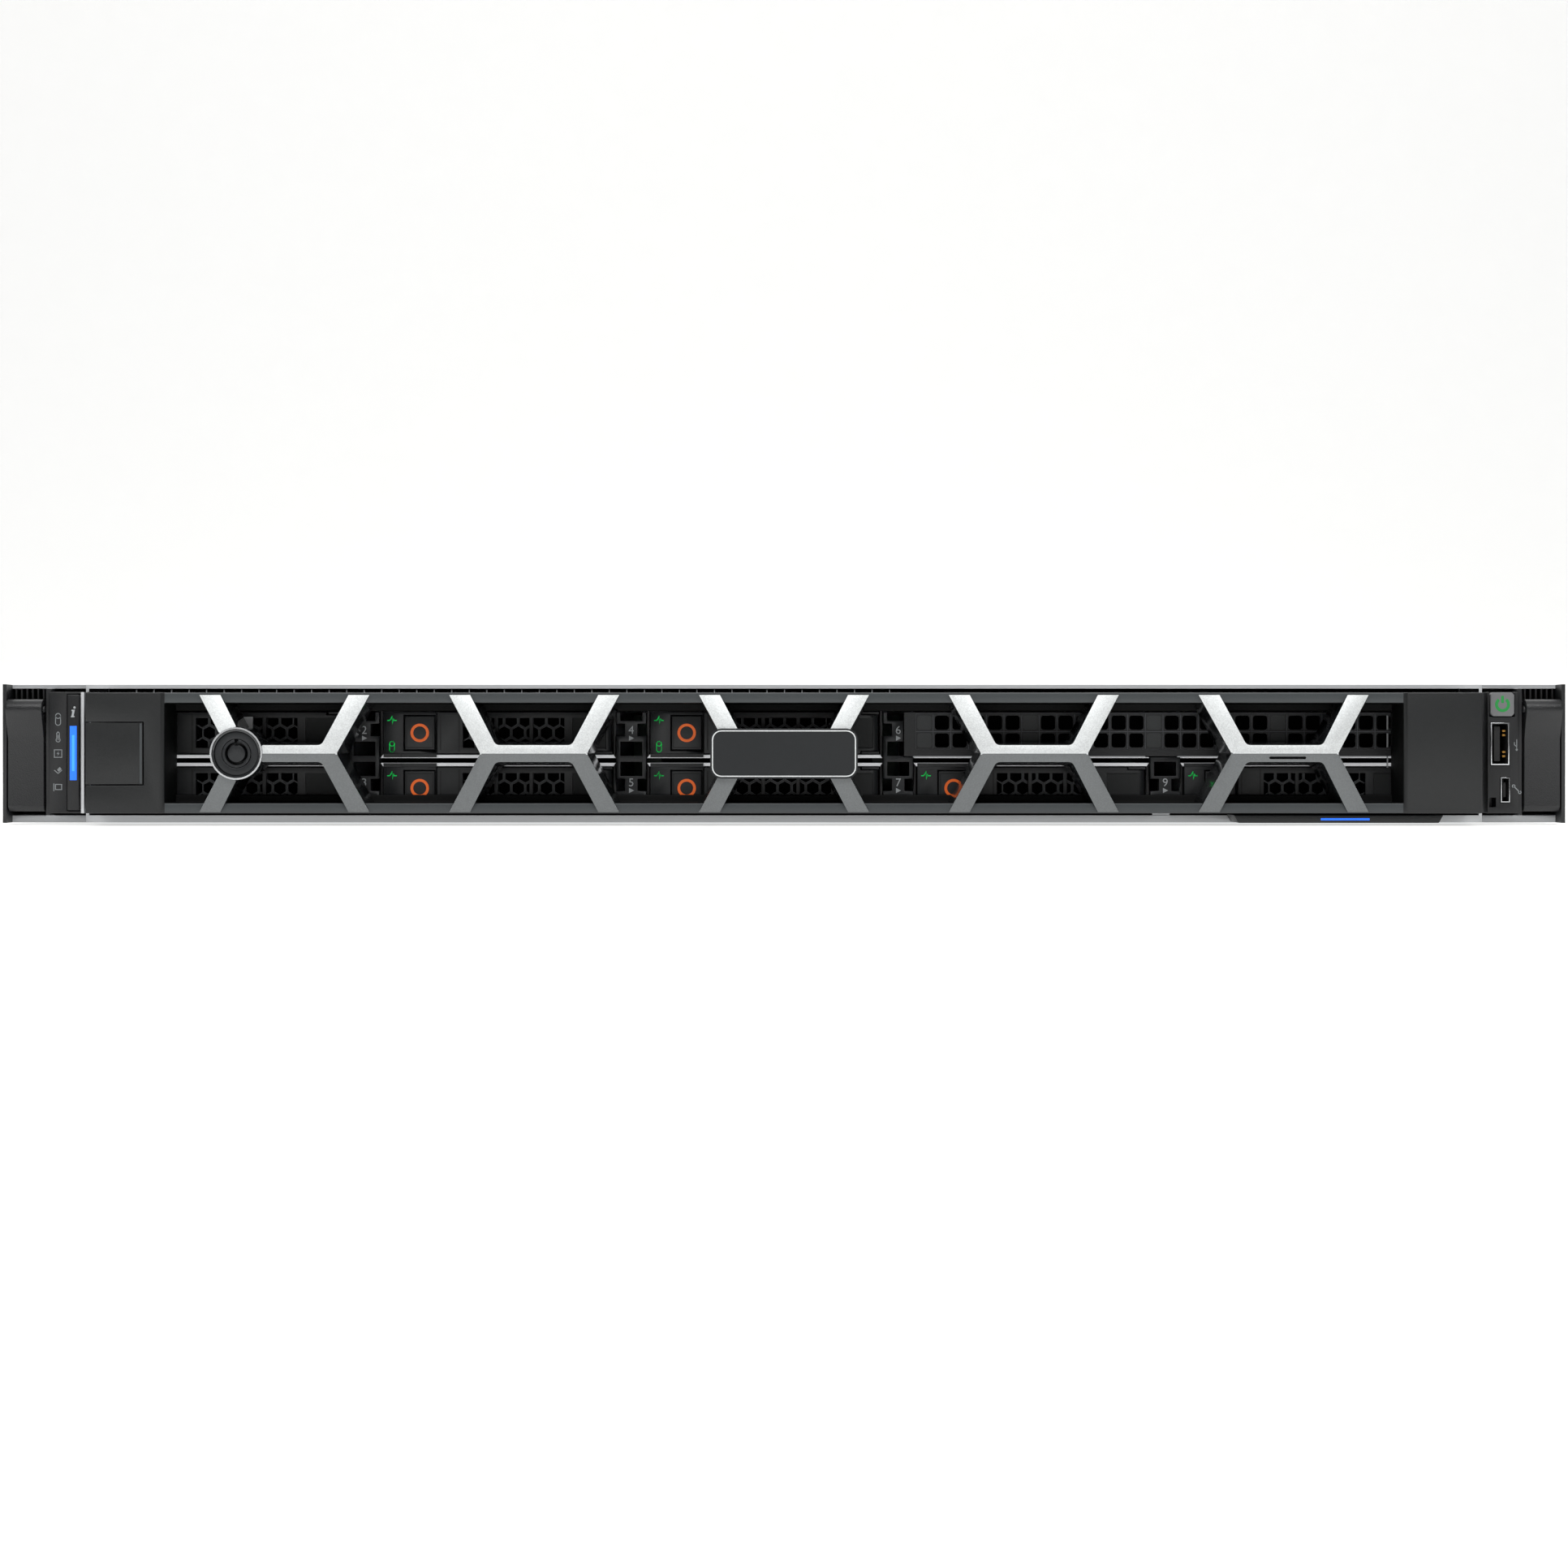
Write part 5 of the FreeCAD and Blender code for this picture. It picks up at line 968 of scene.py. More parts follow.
@dataclass
class Drive:
    """The front of one drive, set out from its lower left corner and its handle's face."""

    number: int
    case_from: float = 9.8
    upper_row: float = 12.0
    plate_zs: tuple[Span, Span] = ((0.0, 14.3), (-1.1, 13.2))
    strip: tuple[Span, Span] = ((0.0, 5.5), (0.1, 1.3))
    rim: tuple[Span, Span] = ((5.5, 16.5), (0.5, 1.3))
    rim_zs: Span = (0.9, 12.15)
    stile: Box = ((5.3, 6.3), (0.3, 1.3), (0.9, 12.2))
    inlay: Box = ((0.9, 4.6), (0.05, 0.3), (0.6, 12.4))
    mark_x: float = 2.7
    pulse: Path = ((-1.5, 0), (-0.75, 0), (-0.35, 0.5), (0, 1.25), (0.1, -1.0), (0.45, 0.45),
                   (0.7, 0), (1.5, 0))
    pulse_z: float = 10.4
    pulse_width: float = 0.3
    drum_z: float = 2.3
    drum_zs: Span = (-0.95, 0.85)
    drum_radius: float = 0.75
    drum_width: float = 0.26
    button: Span = (11.3, 6.55)
    ring_radius: float = 2.45
    ring_width: float = 0.85
    button_half: Span = (4.1, 4.6)
    cell: float = 4.4
    wall: float = 0.42
    comb_start: Point = (26.4, 2.2, 2.74)
    comb_count: tuple[int, int] = (7, 3)
    comb_depth: float = 1.2
    comb_play: float = 0.01
    trims: tuple[tuple[Box, int], ...] = (
        (((17.6, 18.0), (-0.02, 0.2), (1.2, 11.9)), 0),
        (((23.4, 23.8), (-0.02, 0.2), (0.6, 12.5)), 0),
        (((59.1, 69.1), (0.4, 0.52), (1.8, 11.3)), 1),
        # near-black plate behind the honeycomb: painted shade
        (((24.6, 56.5), (4.6, 5.0), (1.7, 11.4)), 2))

    def build(self, comb: Pattern) -> None:
        """Dress the drive's three bodies.

        Args:
            comb: the pattern of the handle's honeycomb.
        """
        number = self.number
        low = corners(f"drive_carrier_{number}")[0]
        face = corners(f"drive_handle_{number}")[0].y
        dressed(f"drive_carrier_{number}", [PLASTIC, DRIVE_STEEL],
                beyond(1, face + self.case_from), edge=0.2, segments=1)
        dressed(f"drive_handle_{number}", [PLASTIC], edge=0.22)
        dressed(f"drive_button_{number}", [PLASTIC], edge=0.35)
        self._lights(low, face)
        self._button(low)
        self._handle(low, face, comb)

    def _lights(self, low: Vector, face: float) -> None:
        """Cover plate with the lit activity and drive marks.

        Args:
            low: the carrier's lowest corner.
            face: the front of the handle.
        """
        x, z = low.x, low.z
        bottom, top = behind(z, *self.plate_zs[z > self.upper_row])
        (strip, strip_depth), (rim, rim_depth) = self.strip, self.rim
        plate = Stock()
        plate.block(behind(x, *strip), behind(face, *strip_depth), (bottom, top))
        for zs in ((bottom, z + self.rim_zs[0]), (z + self.rim_zs[1], top)):
            plate.block(behind(x, *rim), behind(face, *rim_depth), zs)
        plate.block(*shifted(self.stile, x, face, z))
        plate.soften(0.12, segments=1)
        plate.block(*shifted(self.inlay, x, face, z), 1)
        plate.done(f"drive_lamp_plate_{self.number}", [PLASTIC, LABEL],
                   f"drive_{self.number}", "dark_plastic")
        marks, ys, middle = Stock(), behind(face, 0.0, 0.15), x + self.mark_x
        marks.band(near(middle, z + self.pulse_z, self.pulse), self.pulse_width, ys)
        marks.drum(middle, z + self.drum_z, self.drum_radius, self.drum_zs, self.drum_width, ys)
        marks.done(f"drive_lamps_{self.number}", [GREEN], f"drive_{self.number}",
                   "light_plastic")

    def _button(self, low: Vector) -> None:
        """The orange ring and the dark rim on the push button.

        Args:
            low: the carrier's lowest corner.
        """
        front, body = corners(f"drive_button_{self.number}")[0].y, f"button_{self.number}"
        x, z = low.x + self.button[0], low.z + self.button[1]
        mark = Stock()
        mark.ring(x, z, self.ring_radius, self.ring_width, behind(front, -0.06, 0.1))
        mark.done(f"button_ring_{self.number}", [ORANGE], body, "button_plastic")
        rim = Stock()
        rim.border(around(x, self.button_half[0]), around(z, self.button_half[1]), 0.3,
                   behind(front, -0.03, 0.1))
        rim.done(f"button_rim_{self.number}", [DARK_SEAM_AND_SHADE], body, "button_plastic")

    def _handle(self, low: Vector, face: float, comb: Pattern) -> None:
        """Honeycomb behind the windows, the grip's grooves, the plain label and a near-black
        plate behind the honeycomb as painted shade.

        Args:
            low: the carrier's lowest corner.
            face: the front of the handle.
            comb: the pattern of the honeycomb.
        """
        body, cell = f"handle_{self.number}", self.cell
        radius = (cell / 2 - self.comb_play - self.wall / 2) / math.cos(math.pi / 6)
        start = (low.x + self.comb_start[0], face + self.comb_start[1],
                 low.z + self.comb_start[2])
        comb.lay(f"handle_comb_{self.number}", body, "dark_plastic", start, self.comb_count,
                 (cell, cell * 0.866), (radius, self.comb_depth, self.wall), cell / 2)
        trim = Stock()
        for box, finish in self.trims:
            trim.block(*shifted(box, low.x, face, low.z), finish)
        trim.done(f"handle_trim_{self.number}", [DARK_SEAM_AND_SHADE, LABEL, VOID_SHADE], body, "dark_plastic")


@dataclass
class Bezel:
    """Frame, bars, badge plate, lock and release button."""

    middle: float = 21.4
    window_half: float = 188.7
    window_zs: Span = (6.0, 37.0)
    wall_play: float = 0.3
    rail_depth: float = 2.5
    flank_slope: float = -0.72
    bars_back: float = 0.3
    joint_radius: float = 1.6
    lock_x: float = -166.4
    lock_reach: float = 8.2
    cam_z: float = 27.5
    rim_radius: float = 7.72
    rim_width: float = 0.5
    badge_half: Span = (22.4, 7.6)
    badge_corner: float = 3.4
    badge_inset: float = 0.7
    slot: tuple[Span, Span] = ((147.6, 158.4), (19.8, 20.4))

    def build(self) -> None:
        """Dress the bezel's bodies."""
        crest = corners("bezel_bars")[0].y
        rails_to = corners("bezel_frame")[0].y + self.rail_depth

        def frame_pick(centre: Vector, normal: Vector) -> int:
            """Rails pale, blocks darker; the window's walls and the faces set back behind the
            rails near-black as painted shade.
            """
            if normal.y < -0.5:
                shown = 0 if centre.y < rails_to else 2
                return shown if abs(centre.x) < self.window_half else 1
            inner = abs(centre.x) < self.window_half + self.wall_play
            return 2 if inner and within(centre.z, self.window_zs) else 1

        dressed("bezel_frame", [RAIL, BLOCK, THROAT_SHADE], frame_pick, edge=0.35)
        dressed("bezel_bars", [SILVER, FLANK, BAR_UNDERSIDE_SHADE], self._bar,
                back=self.bars_back, hollow=self.joint_radius)
        dressed("release_button", [BLOCK])
        self._badge(crest)
        # near-black block behind the slot in the middle bar: painted shade
        slot = Stock()
        slot.block(self.slot[0], behind(crest, 0.55, 2.0), self.slot[1])
        slot.done("bar_slot_shade", [VOID_SHADE], "bezel", "bar_metal")
        self._lock(crest)
        self._release()

    def _bar(self, centre: Vector, normal: Vector) -> int:
        """Pale upper facets, lower facets painted greyer as painted shade, glossy dark flanks.

        Args:
            centre: a face's centre.
            normal: its normal.

        Returns:
            Index of its finish.
        """
        from_lock = math.hypot(centre.x - self.lock_x, centre.z - self.middle)
        if normal.y > self.flank_slope or from_lock < self.lock_reach:
            return 1
        # downward facets take the darker copy of the silver: painted shade
        return 0 if normal.z > -0.02 else 2

    def _rounded(self, inset: float) -> list[Span]:
        """The badge's rounded outline, moved in by an inset.

        Args:
            inset: how far it is moved in.

        Returns:
            Its points.
        """
        points, corner = [], self.badge_corner - inset
        wide, tall = (half - inset - corner for half in self.badge_half)
        for across, up, first in ((1, 1, 0), (-1, 1, 90), (-1, -1, 180), (1, -1, 270)):
            for step in range(6):
                turn = math.radians(first + step * 18)
                points.append((across * wide + corner * math.cos(turn),
                               self.middle + up * tall + corner * math.sin(turn)))
        return points

    def _badge(self, crest: float) -> None:
        """A bare dark plate with a thin bright rim on the middle bar.

        Args:
            crest: the front of the bars.
        """
        badge = Stock()
        badge.plate(self._rounded(0.0), behind(crest, 0.06, 1.9))
        badge.soften(0.2)
        badge.band(self._rounded(self.badge_inset), 0.35, behind(crest, 0.02, 0.3), 1,
                   closed=True)
        badge.done("badge_plate", [LOCK_FACE, SILVER], "bezel", "bar_metal")

    def _lock(self, crest: float) -> None:
        """The lock's metal ring, dark face and keyed core, with the cam above it painted bright
        as painted light.

        Args:
            crest: the front of the bars.
        """
        dressed("lock_barrel", [LOCK_FACE], edge=0.2)
        # the cam above cam_z takes the brightened lip: painted light
        dressed("lock_core", [LOCK_FACE, LIT_LIP], beyond(2, self.cam_z), edge=0.1,
                segments=1)
        rim = Stock()
        rim.ring(self.lock_x, self.middle, self.rim_radius, self.rim_width,
                 behind(crest, 0.02, 0.8), sides=56)
        rim.done("lock_rim", [CHROME], "bezel", "lock_metal")

    def _release(self) -> None:
        """A pale raised strip at the button's right edge: a painted highlight on its bevelled
        edge.
        """
        low, high = corners("release_button")
        line = Stock()
        line.block(behind(high.x, -0.9, -0.2), behind(low.y, -0.02, 0.3),
                   (low.z + 0.3, high.z - 0.3))
        line.done("release_edge_highlight", [RAIL], "bezel_button", "bezel_plastic")


@dataclass
class Ears:
    """Rack ears, levers and both control panels, with their printed and lit marks."""

    tip: float = 239.8
    sheet_zs: Span = (2.3, 41.5)
    sheet_y: float = -264.0
    print_depth: Span = (-0.05, 0.1)
    rib_starts: tuple[tuple[str, float], ...] = (("left", -238.6), ("right", 228.6))
    rib_place: Span = (-276.0, 39.8)
    rib_count: int = 7
    rib_pitch: float = 1.7
    rib_size: Point = (0.5, 5.0, 3.4)
    status_x: float = -223.9
    status_zs: tuple[float, ...] = (32.0, 26.5, 21.4, 16.3, 11.0)
    stroke: float = 0.24
    thick_stroke: float = 0.26
    drum_radius: float = 0.78
    drum_zs: Span = (-1.1, 1.0)
    bulb: Span = (-0.9, 0.62)
    thread_zs: Span = (-1.0, 0.6)
    bolt_half: float = 1.15
    card: tuple[Span, Span] = ((-0.8, 1.1), (-0.7, 0.9))
    card_edge: Path = ((-1.3, 1.2), (-1.3, -1.2))
    tube: Path = ((-0.4, -0.3), (-0.4, 1.2), (0, 1.6), (0.4, 1.2), (0.4, -0.3))
    bolt: Path = ((0.25, 0.75), (-0.45, -0.1), (0, -0.1), (-0.25, -0.75), (0.45, 0.1), (0, 0.1))
    module: Path = ((-0.3, 0.1), (0.5, 1.0), (1.1, 0.3), (0.2, -0.5))
    tray: Path = ((-1.2, 0), (0, -1.0), (1.2, 0))
    lit_half: float = 1.05
    lit_zs: Span = (13.2, 29.9)
    core_half: float = 0.4
    core_zs: Span = (16.0, 27.1)
    letter_z: float = 32.6
    letter: Path = ((-0.75, 0), (0.35, 0), (0.45, 0.4), (0.1, 0.4), (0.5, 2.3), (-0.5, 2.3),
                    (-0.6, 1.9), (-0.25, 1.9), (-0.55, 0.4), (-0.65, 0.4))
    dot: Point = (0.4, 3.0, 0.36)
    power_drop: float = 0.1
    power_radius: float = 1.85
    power_width: float = 0.9
    power_half: float = 0.42
    power_zs: Span = (0.4, 2.6)
    port_mark_x: float = 226.0
    wrench_z: float = 10.4
    wrench: Path = ((-0.8, 0.8), (0.8, -0.8))
    wrench_ends: Path = ((-0.95, -20), (0.95, 160))
    jaw: Span = (0.42, 0.25)
    branch_z: float = 24.2
    stem: Path = ((0, -1.6), (0, 1.6))
    branch: Path = ((-0.7, 0.7), (-0.7, -0.1), (0, -0.7))

    def build(self) -> None:
        """Dress the ears and print and light their marks."""
        for side in ("left", "right"):
            dressed(f"{side}_ear", [BLACK_STEEL, EDGE], self._sheet, edge=0.2)
            dressed(f"{side}_latch", [LEATHER], edge=0.3)
            # control panels and identify button take the darker copy of the moulding: painted
            # shade
            dressed(f"{side}_control_panel", [SHADED_PANEL], edge=0.2)
        dressed("id_button", [SHADED_PANEL], edge=0.3)
        dressed("power_button", [POWER_CAP], edge=0.3)
        ribs = Pattern(Motif.BLOCK, DARK_SEAM_AND_SHADE)
        for side, start in self.rib_starts:
            ribs.lay(f"{side}_recess_ribs", "chassis", "black_steel", (start, *self.rib_place),
                     (self.rib_count, 1), (self.rib_pitch, 1.0), self.rib_size)
        self._status()
        self._identify()
        self._power()
        self._port_marks()

    def _sheet(self, centre: Vector, _normal: Vector) -> int:
        """Bright sheets at top and bottom, black elsewhere."""
        flat = not within(centre.z, self.sheet_zs)
        return int(flat and abs(centre.x) < self.tip and centre.y < self.sheet_y)

    def _status(self) -> None:
        """Five small marks down the left panel."""
        x, line, thick = self.status_x, self.stroke, self.thick_stroke
        ys = behind(corners("left_control_panel")[0].y, *self.print_depth)
        drive, heat, power, memory, card = self.status_zs
        art = Stock()
        art.drum(x, drive, self.drum_radius, self.drum_zs, line, ys)
        art.ring(x, heat + self.bulb[0], self.bulb[1], line, ys, start=125, sweep=290, sides=16)
        art.band(near(x, heat, self.tube), line, ys)
        art.block(around(x, line / 2), ys, behind(heat, *self.thread_zs))
        art.border(around(x, self.bolt_half), around(power, self.bolt_half), line, ys)
        art.plate(near(x, power, self.bolt), ys)
        art.plate(near(x, memory, self.module), ys)
        art.band(near(x, memory, self.tray), thick, ys)
        art.border(behind(x, *self.card[0]), behind(card, *self.card[1]), thick, ys)
        art.band(near(x, card, self.card_edge), thick, ys)
        art.done("status_marks", [DIM_PRINT], "chassis", "dark_plastic")

    def _identify(self) -> None:
        """The lit bar and the slanted mark on the identify button."""
        low, high = corners("id_button")
        x = (low.x + high.x) / 2
        lit = Stock()
        lit.block(around(x, self.lit_half), behind(low.y, -0.04, 0.2), self.lit_zs)
        lit.block(around(x, self.core_half), behind(low.y, -0.07, 0.1), self.core_zs, 1)
        lit.soften(0.05, segments=1)
        lit.done("identify_light", [BLUE, CYAN], "identify", "light_plastic")
        mark, ys = Stock(), behind(low.y, *self.print_depth)
        mark.plate(near(x, self.letter_z, self.letter), ys)
        mark.rod(x + self.dot[0], self.letter_z + self.dot[1], self.dot[2], ys, sides=14)
        mark.done("identify_mark", [PRINT], "identify", "light_plastic")

    def _power(self) -> None:
        """The power symbol: an open ring and its stroke."""
        low, high = corners("power_button")
        x, z = (low.x + high.x) / 2, (low.z + high.z) / 2
        art, ys = Stock(), behind(low.y, *self.print_depth)
        art.ring(x, z - self.power_drop, self.power_radius, self.power_width, ys, start=126,
                 sweep=288, sides=28)
        art.block(around(x, self.power_half), ys, behind(z, *self.power_zs))
        art.done("power_symbol", [POWER_GREEN], "power", "power_plastic")

    def _port_marks(self) -> None:
        """A small wrench and a plain branched line beside the sockets."""
        ys = behind(corners("right_control_panel")[0].y, *self.print_depth)
        x, z, mark = self.port_mark_x, self.wrench_z, Stock()
        mark.band(near(x, z, self.wrench), 0.32, ys)
        for end, start in self.wrench_ends:
            mark.ring(x + end, z - end, *self.jaw, ys, start=start, sweep=270, sides=12)
        z = self.branch_z
        mark.band(near(x, z, self.stem), 0.2, ys)
        mark.band(near(x, z, self.branch), 0.2, ys)
        mark.rod(x, z + self.stem[0][1], 0.34, ys, sides=12)
        mark.done("panel_marks", [DIM_PRINT], "chassis", "dark_plastic")


@dataclass
class Ports:
    """Sockets at the front and the rear."""

    shell_y: float = -285.4
    contact_xs: Span = (221.9, 222.8)
    contact_ys: Span = (-284.0, -276.0)
    contact_zs: tuple[float, ...] = (20.6, 21.9, 27.1, 28.4)
    contact_half: float = 0.3
    video: Span = (-78.7, 10.9)
    video_face: Path = ((-8.6, 4.2), (8.6, 4.2), (7.6, -4.2), (-7.6, -4.2))
    face_depth: Span = (-0.5, -0.02)
    hole_depth: Span = (-0.4, 0.0)
    hole_radius: float = 0.42
    hole_pitch: float = 2.2
    hole_shifts: Point = (0.0, -0.9, 0.0)
    nut_x: float = 12.5
    nut_radius: float = 2.4
    nut_bore: float = 1.1
    jack_xs: tuple[float, ...] = (-34.0, -16.0, 2.0, 20.0, 38.0)
    jack_z: float = 11.3
    pin_start: Point = (-3.57, -6.0, 4.0)
    pin_count: int = 8
    pin_pitch: float = 1.02
    pin_size: Point = (0.4, 6.0, 0.5)
    lamp_x: float = 5.0
    lamp_half: float = 1.1
    lamp_zs: Span = (5.2, 6.4)

    def build(self) -> None:
        """Dress the shells and fill the sockets."""
        dressed("port_sockets", [SOCKET, DARK_SEAM_AND_SHADE], self._shell, edge=0.08,
                segments=1)
        front = Stock()
        for z in self.contact_zs:
            front.block(self.contact_xs, self.contact_ys, around(z, self.contact_half))
        front.done("usb_contacts", [GOLD], "chassis", "socket_metal")
        rear = corners("port_sockets")[1].y
        self._video(rear)
        self._jacks(rear)

    def _shell(self, centre: Vector, normal: Vector) -> int:
        """At the front bright shells with insides painted dark, partly as painted shade, at the
        rear bright throughout.
        """
        outer = normal.y < -0.9 and centre.y < self.shell_y
        return int(centre.y < 0 and not outer)

    def _video(self, rear: float) -> None:
        """The video socket's holed insert, its holes near-black discs of painted shade, and both
        hex nuts.

        Args:
            rear: the outer face of the sockets.
        """
        (x, z), face = self.video, Stock()
        plate_ys, hole_ys = behind(rear, *self.face_depth), behind(rear, *self.hole_depth)
        face.plate(near(x, z, self.video_face), plate_ys)
        face.soften(0.15)
        for row, shift in zip((1, 0, -1), self.hole_shifts):
            for step in range(-2, 3):
                face.rod(x + step * self.hole_pitch + shift, z + row * self.hole_pitch,
                         self.hole_radius, hole_ys, 1, 10)
        for side in (-self.nut_x, self.nut_x):
            face.rod(x + side, z, self.nut_radius, plate_ys, 2, 6)
            face.rod(x + side, z, self.nut_bore, hole_ys, 1, 16)
        face.done("video_socket_face", [VIDEO_BLUE, VOID_SHADE, EDGE], "chassis", "socket_metal")

    def _jacks(self, rear: float) -> None:
        """Eight contacts in the roof of each network jack, and its two lamps.

        Args:
            rear: the outer face of the sockets.
        """
        pins, lamps = Pattern(Motif.BLOCK, GOLD), Stock()
        across, inward, up = self.pin_start
        for index, x in enumerate(self.jack_xs):
            pins.lay(f"jack_contacts_{index + 1}", "chassis", "socket_metal",
                     (x + across, rear + inward, self.jack_z + up), (self.pin_count, 1),
                     (self.pin_pitch, 1.0), self.pin_size)
            for side in (-self.lamp_x, self.lamp_x):
                lamps.block(around(x + side, self.lamp_half), behind(rear, -0.3, -0.02),
                            behind(self.jack_z, *self.lamp_zs))
        lamps.done("jack_lamps", [GREEN], "chassis", "light_plastic")


@dataclass
class Tag:
    """The pull-out information tag."""

    line_xs: Span = (164.0, 178.9)
    line_zs: Span = (1.0, 1.65)

    def build(self) -> None:
        """Dress the tag and lay its blue line."""
        dressed("info_tag", [BLOCK], edge=0.3)
        line = Stock()
        line.block(self.line_xs, behind(corners("info_tag")[0].y, -0.03, 0.2), self.line_zs)
        line.done("tag_line", [BLUE], "tag", "tab_plastic")


@dataclass
class Inside:
    """What lies under the cover."""

    board_top: float = 4.7
    backplane_ys: Span = (-165.5, -163.6)
    bracket_y: float = 268.5
    fans: int = 4

    def build(self) -> None:
        """Dress the boards, the cooling and the shroud."""
        back_low, back_high = self.backplane_ys
        dressed("backplane", [BOARD, CHIP], beyond(1, back_high, back_low),
                edge=0.0)
        dressed("mainboard", [BOARD, CHIP], beyond(2, self.board_top), edge=0.0)
        dressed("heatsink", [SINK], edge=0.0)
        dressed("memory_modules", [BOARD], edge=0.1, segments=1)
        dressed("air_shroud", [PLASTIC], edge=0.3)
        dressed("riser_card", [BOARD, STEEL], beyond(1, self.bracket_y),
                edge=0.0)
        dressed("fan_frames", [FAN], edge=0.2, segments=1)
        for index in range(1, self.fans + 1):
            dressed(f"fan_rotor_{index}", [FAN], edge=0.12, segments=1)


@dataclass
class Supplies:
    """Both slide-in supplies, seen at the rear."""

    face_y: float = 271.1
    inlet_depth: float = 18.5
    inlet_zs: Span = (6.0, 36.0)
    fan: Span = (55.5, 19.5)
    wire_radii: tuple[float, ...] = (3.5, 7.0, 10.5, 14.0)
    wire_width: float = 0.7
    spoke_turns: tuple[int, ...] = (45, 135, 225, 315)
    spoke_reach: Span = (3.5, 15.2)
    spoke_width: float = 0.8
    inlet_x: float = 20.0
    pins: Path = ((-6.5, -1.5), (6.5, -1.5), (0, 3.0))
    pin_half: Span = (1.0, 2.2)
    lamp: Point = (67.5, 35.5, 1.3)

    def build(self) -> None:
        """Dress the cases and fit guards, pins and lamps."""
        for number in (1, 2):
            dressed(f"psu_{number}", [SUPPLY, FAN], self._case, edge=0.3)
            dressed(f"psu_latch_{number}", [TERRACOTTA], edge=0.3)
            self._guard(number)
            self._fittings(number)

    def _case(self, centre: Vector, normal: Vector) -> int:
        """Plastic grab loop, dark inlet, metal case."""
        mouth = centre.y > self.face_y - self.inlet_depth and abs(normal.y) < 0.5
        return int(centre.y > self.face_y + 0.3 or mouth and within(centre.z, self.inlet_zs))

    def _guard(self, number: int) -> None:
        """Wire guard over a supply's fan.

        Args:
            number: the supply, 1 or 2.
        """
        low, y, wire = corners(f"psu_{number}")[0], self.face_y, Stock()
        x, z = low.x + self.fan[0], low.z + self.fan[1]
        for radius in self.wire_radii:
            wire.ring(x, z, radius, self.wire_width, behind(y, -1.0, -0.2), sides=40)
        for turn in self.spoke_turns:
            across, up = math.cos(math.radians(turn)), math.sin(math.radians(turn))
            wire.band(near(x, z, [(reach * across, reach * up) for reach in self.spoke_reach]),
                      self.spoke_width, behind(y, -1.4, -0.5))
        wire.done(f"supply_guard_{number}", [STEEL], f"supply_{number}", "supply_metal")

    def _fittings(self, number: int) -> None:
        """Pins in a supply's inlet and its status light.

        Args:
            number: the supply, 1 or 2.
        """
        low, y, pins, lamp = corners(f"psu_{number}")[0], self.face_y, Stock(), Stock()
        for x, z in near(low.x + self.inlet_x, low.z + self.fan[1], self.pins):
            pins.block(around(x, self.pin_half[0]), behind(y, -17.9, -6.0),
                       around(z, self.pin_half[1]))
        pins.done(f"supply_pins_{number}", [EDGE], f"supply_{number}", "supply_metal")
        across, up, radius = self.lamp
        lamp.rod(low.x + across, low.z + up, radius, behind(y, -0.3, 0.3), sides=16)
        lamp.done(f"supply_lamp_{number}", [GREEN], f"supply_{number}", "light_plastic")


@dataclass
class Cover:
    """The lift-off cover with its lever."""

    sheet_edge: float = 0.2
    lever_edge: float = 0.4

    def build(self) -> None:
        """Dress the cover and its lever."""
        dressed("top_cover", [STEEL], edge=self.sheet_edge, segments=1)
        dressed("cover_latch", [LATCH_BLUE], edge=self.lever_edge)


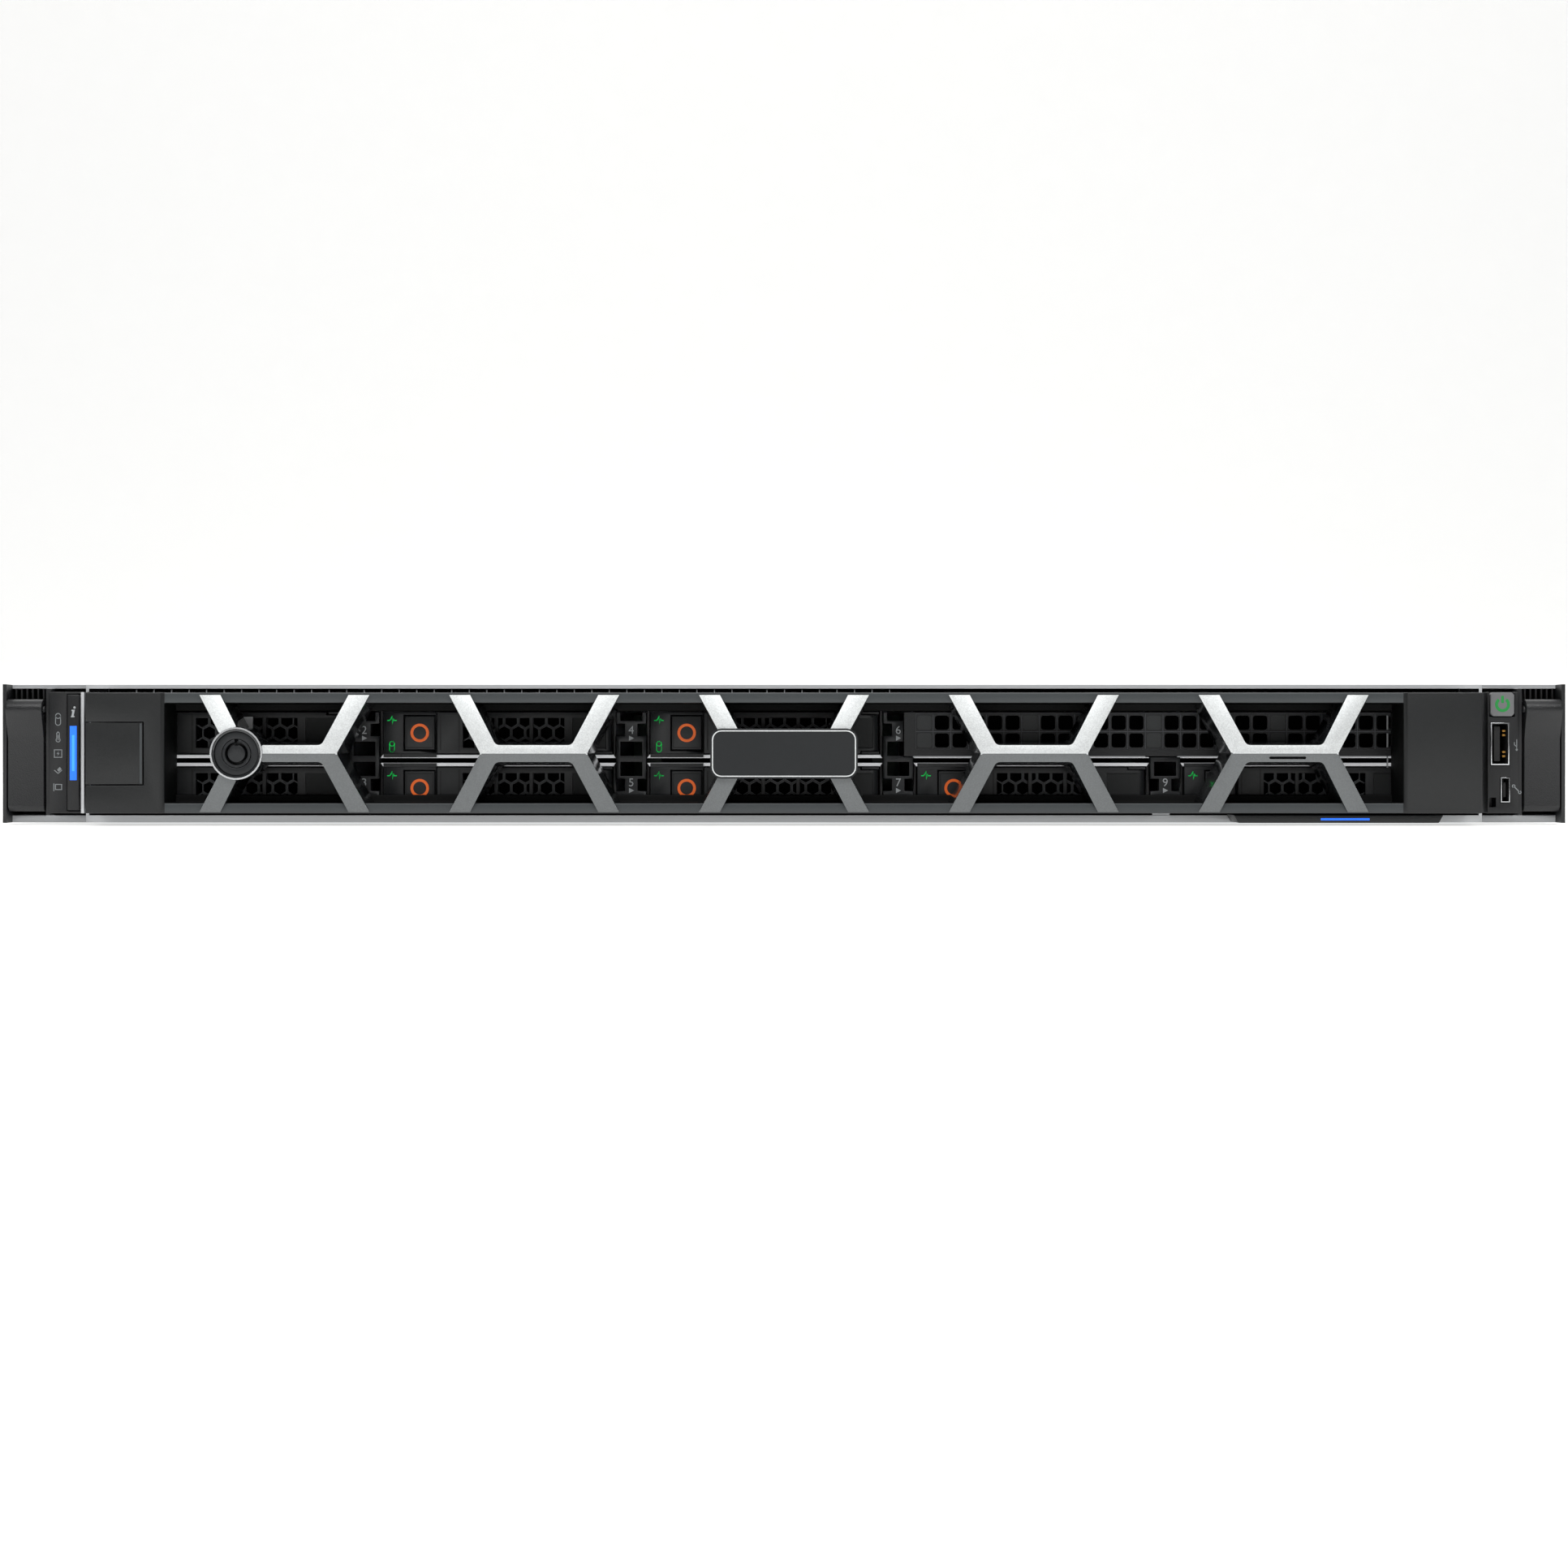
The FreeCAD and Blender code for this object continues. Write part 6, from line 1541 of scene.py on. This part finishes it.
@dataclass
class Studio:
    """Floor, lights and camera."""

    floor_front: float = -2500.0
    floor_half: float = 4500.0
    floor_drop: float = 0.6
    sweep: Span = (1400.0, 1500.0)
    wall: Span = (2900.0, 4500.0)
    lamps: tuple[tuple[str, Point, Point, Span, float], ...] = (
        ("key", (0.0, -1.45, 1.35), (0.0, -0.3, 0.02), (2.4, 0.7), 26.0),
        ("top", (0.0, 0.3, 2.2), (0.0, 0.1, 0.0), (2.6, 2.2), 20.0),
        ("back", (0.0, 1.3, 0.9), (0.0, 0.3, 0.0), (2.4, 0.9), 12.0))
    glow: float = 0.12
    distance: float = 870.0
    lens: float = 65.8
    sensor: float = 36.0
    shift: float = -0.0194
    crest: float = -299.3
    eye: float = 21.4

    def build(self) -> None:
        """Set the stage."""
        self._floor()
        self._lights()
        self._camera()

    def _floor(self) -> None:
        """A pale floor that sweeps up behind."""
        start, radius = self.sweep
        points = [(self.floor_front, 0.0)]
        for turn in map(math.radians, range(0, 91, 6)):
            points.append((start + radius * math.sin(turn), radius - radius * math.cos(turn)))
        points.append(self.wall)
        mesh = bpy.data.meshes.new("floor")
        verts = [(x * MM, y * MM, (z - self.floor_drop) * MM) for y, z in points
                 for x in (-self.floor_half, self.floor_half)]
        faces = [(i, i + 1, i + 3, i + 2) for i in range(0, len(verts) - 2, 2)]
        mesh.from_pydata(verts, [], faces)
        mesh.materials.append(FLOOR.material())
        mesh.shade_smooth()
        floor = bpy.data.objects.new("floor", mesh)
        bpy.context.scene.collection.objects.link(floor)

    def _lamp(self, name: str, spot: Point, aim: Point, size: Span, power: float) -> None:
        """A soft rectangular lamp that looks at a point.

        Args:
            name: the lamp's name.
            spot: where it hangs, in metres.
            aim: what it looks at, in metres.
            size: its width and depth, in metres.
            power: its power in watts.
        """
        light = bpy.data.lights.new(name, "AREA")
        light.shape, light.size, light.size_y = "RECTANGLE", *size
        light.energy = power
        lamp = bpy.data.objects.new(name, light)
        lamp.location = spot
        lamp.rotation_euler = (Vector(aim) - Vector(spot)).to_track_quat("-Z", "Y").to_euler()
        bpy.context.scene.collection.objects.link(lamp)

    def _lights(self) -> None:
        """A high key, a wide top light, one from behind and a pale world."""
        for lamp in self.lamps:
            self._lamp(*lamp)
        world = bpy.data.worlds.new("studio")
        world.use_nodes = True
        shade = world.node_tree.nodes["Background"]
        shade.inputs["Color"].default_value = (1, 1, 1, 1)
        shade.inputs["Strength"].default_value = self.glow
        bpy.context.scene.world = world

    def _camera(self) -> None:
        """A level camera in front of the middle."""
        data = bpy.data.cameras.new("camera")
        data.lens, data.sensor_width, data.shift_y = self.lens, self.sensor, self.shift
        data.clip_start, data.clip_end = 0.01, 60.0
        camera = bpy.data.objects.new("camera", data)
        camera.location = (0.0, (self.crest - self.distance) * MM, self.eye * MM)
        camera.rotation_euler = (math.pi / 2, 0.0, 0.0)
        bpy.context.scene.collection.objects.link(camera)
        bpy.context.scene.camera = camera


def main() -> None:
    logging.basicConfig(level=logging.INFO, format="%(message)s")
    Studio().build()
    Chassis().build()
    Bays().build()
    comb = Pattern(Motif.COMB, COMB_WALL)
    for number in range(1, 9):
        Drive(number).build(comb)
    for assembly in (Bezel(), Ears(), Ports(), Tag(), Inside(), Supplies(), Cover()):
        assembly.build()
    bpy.context.scene.view_settings.view_transform = "Standard"
    bpy.context.view_layer.update()


if __name__ == "__main__":
    main()
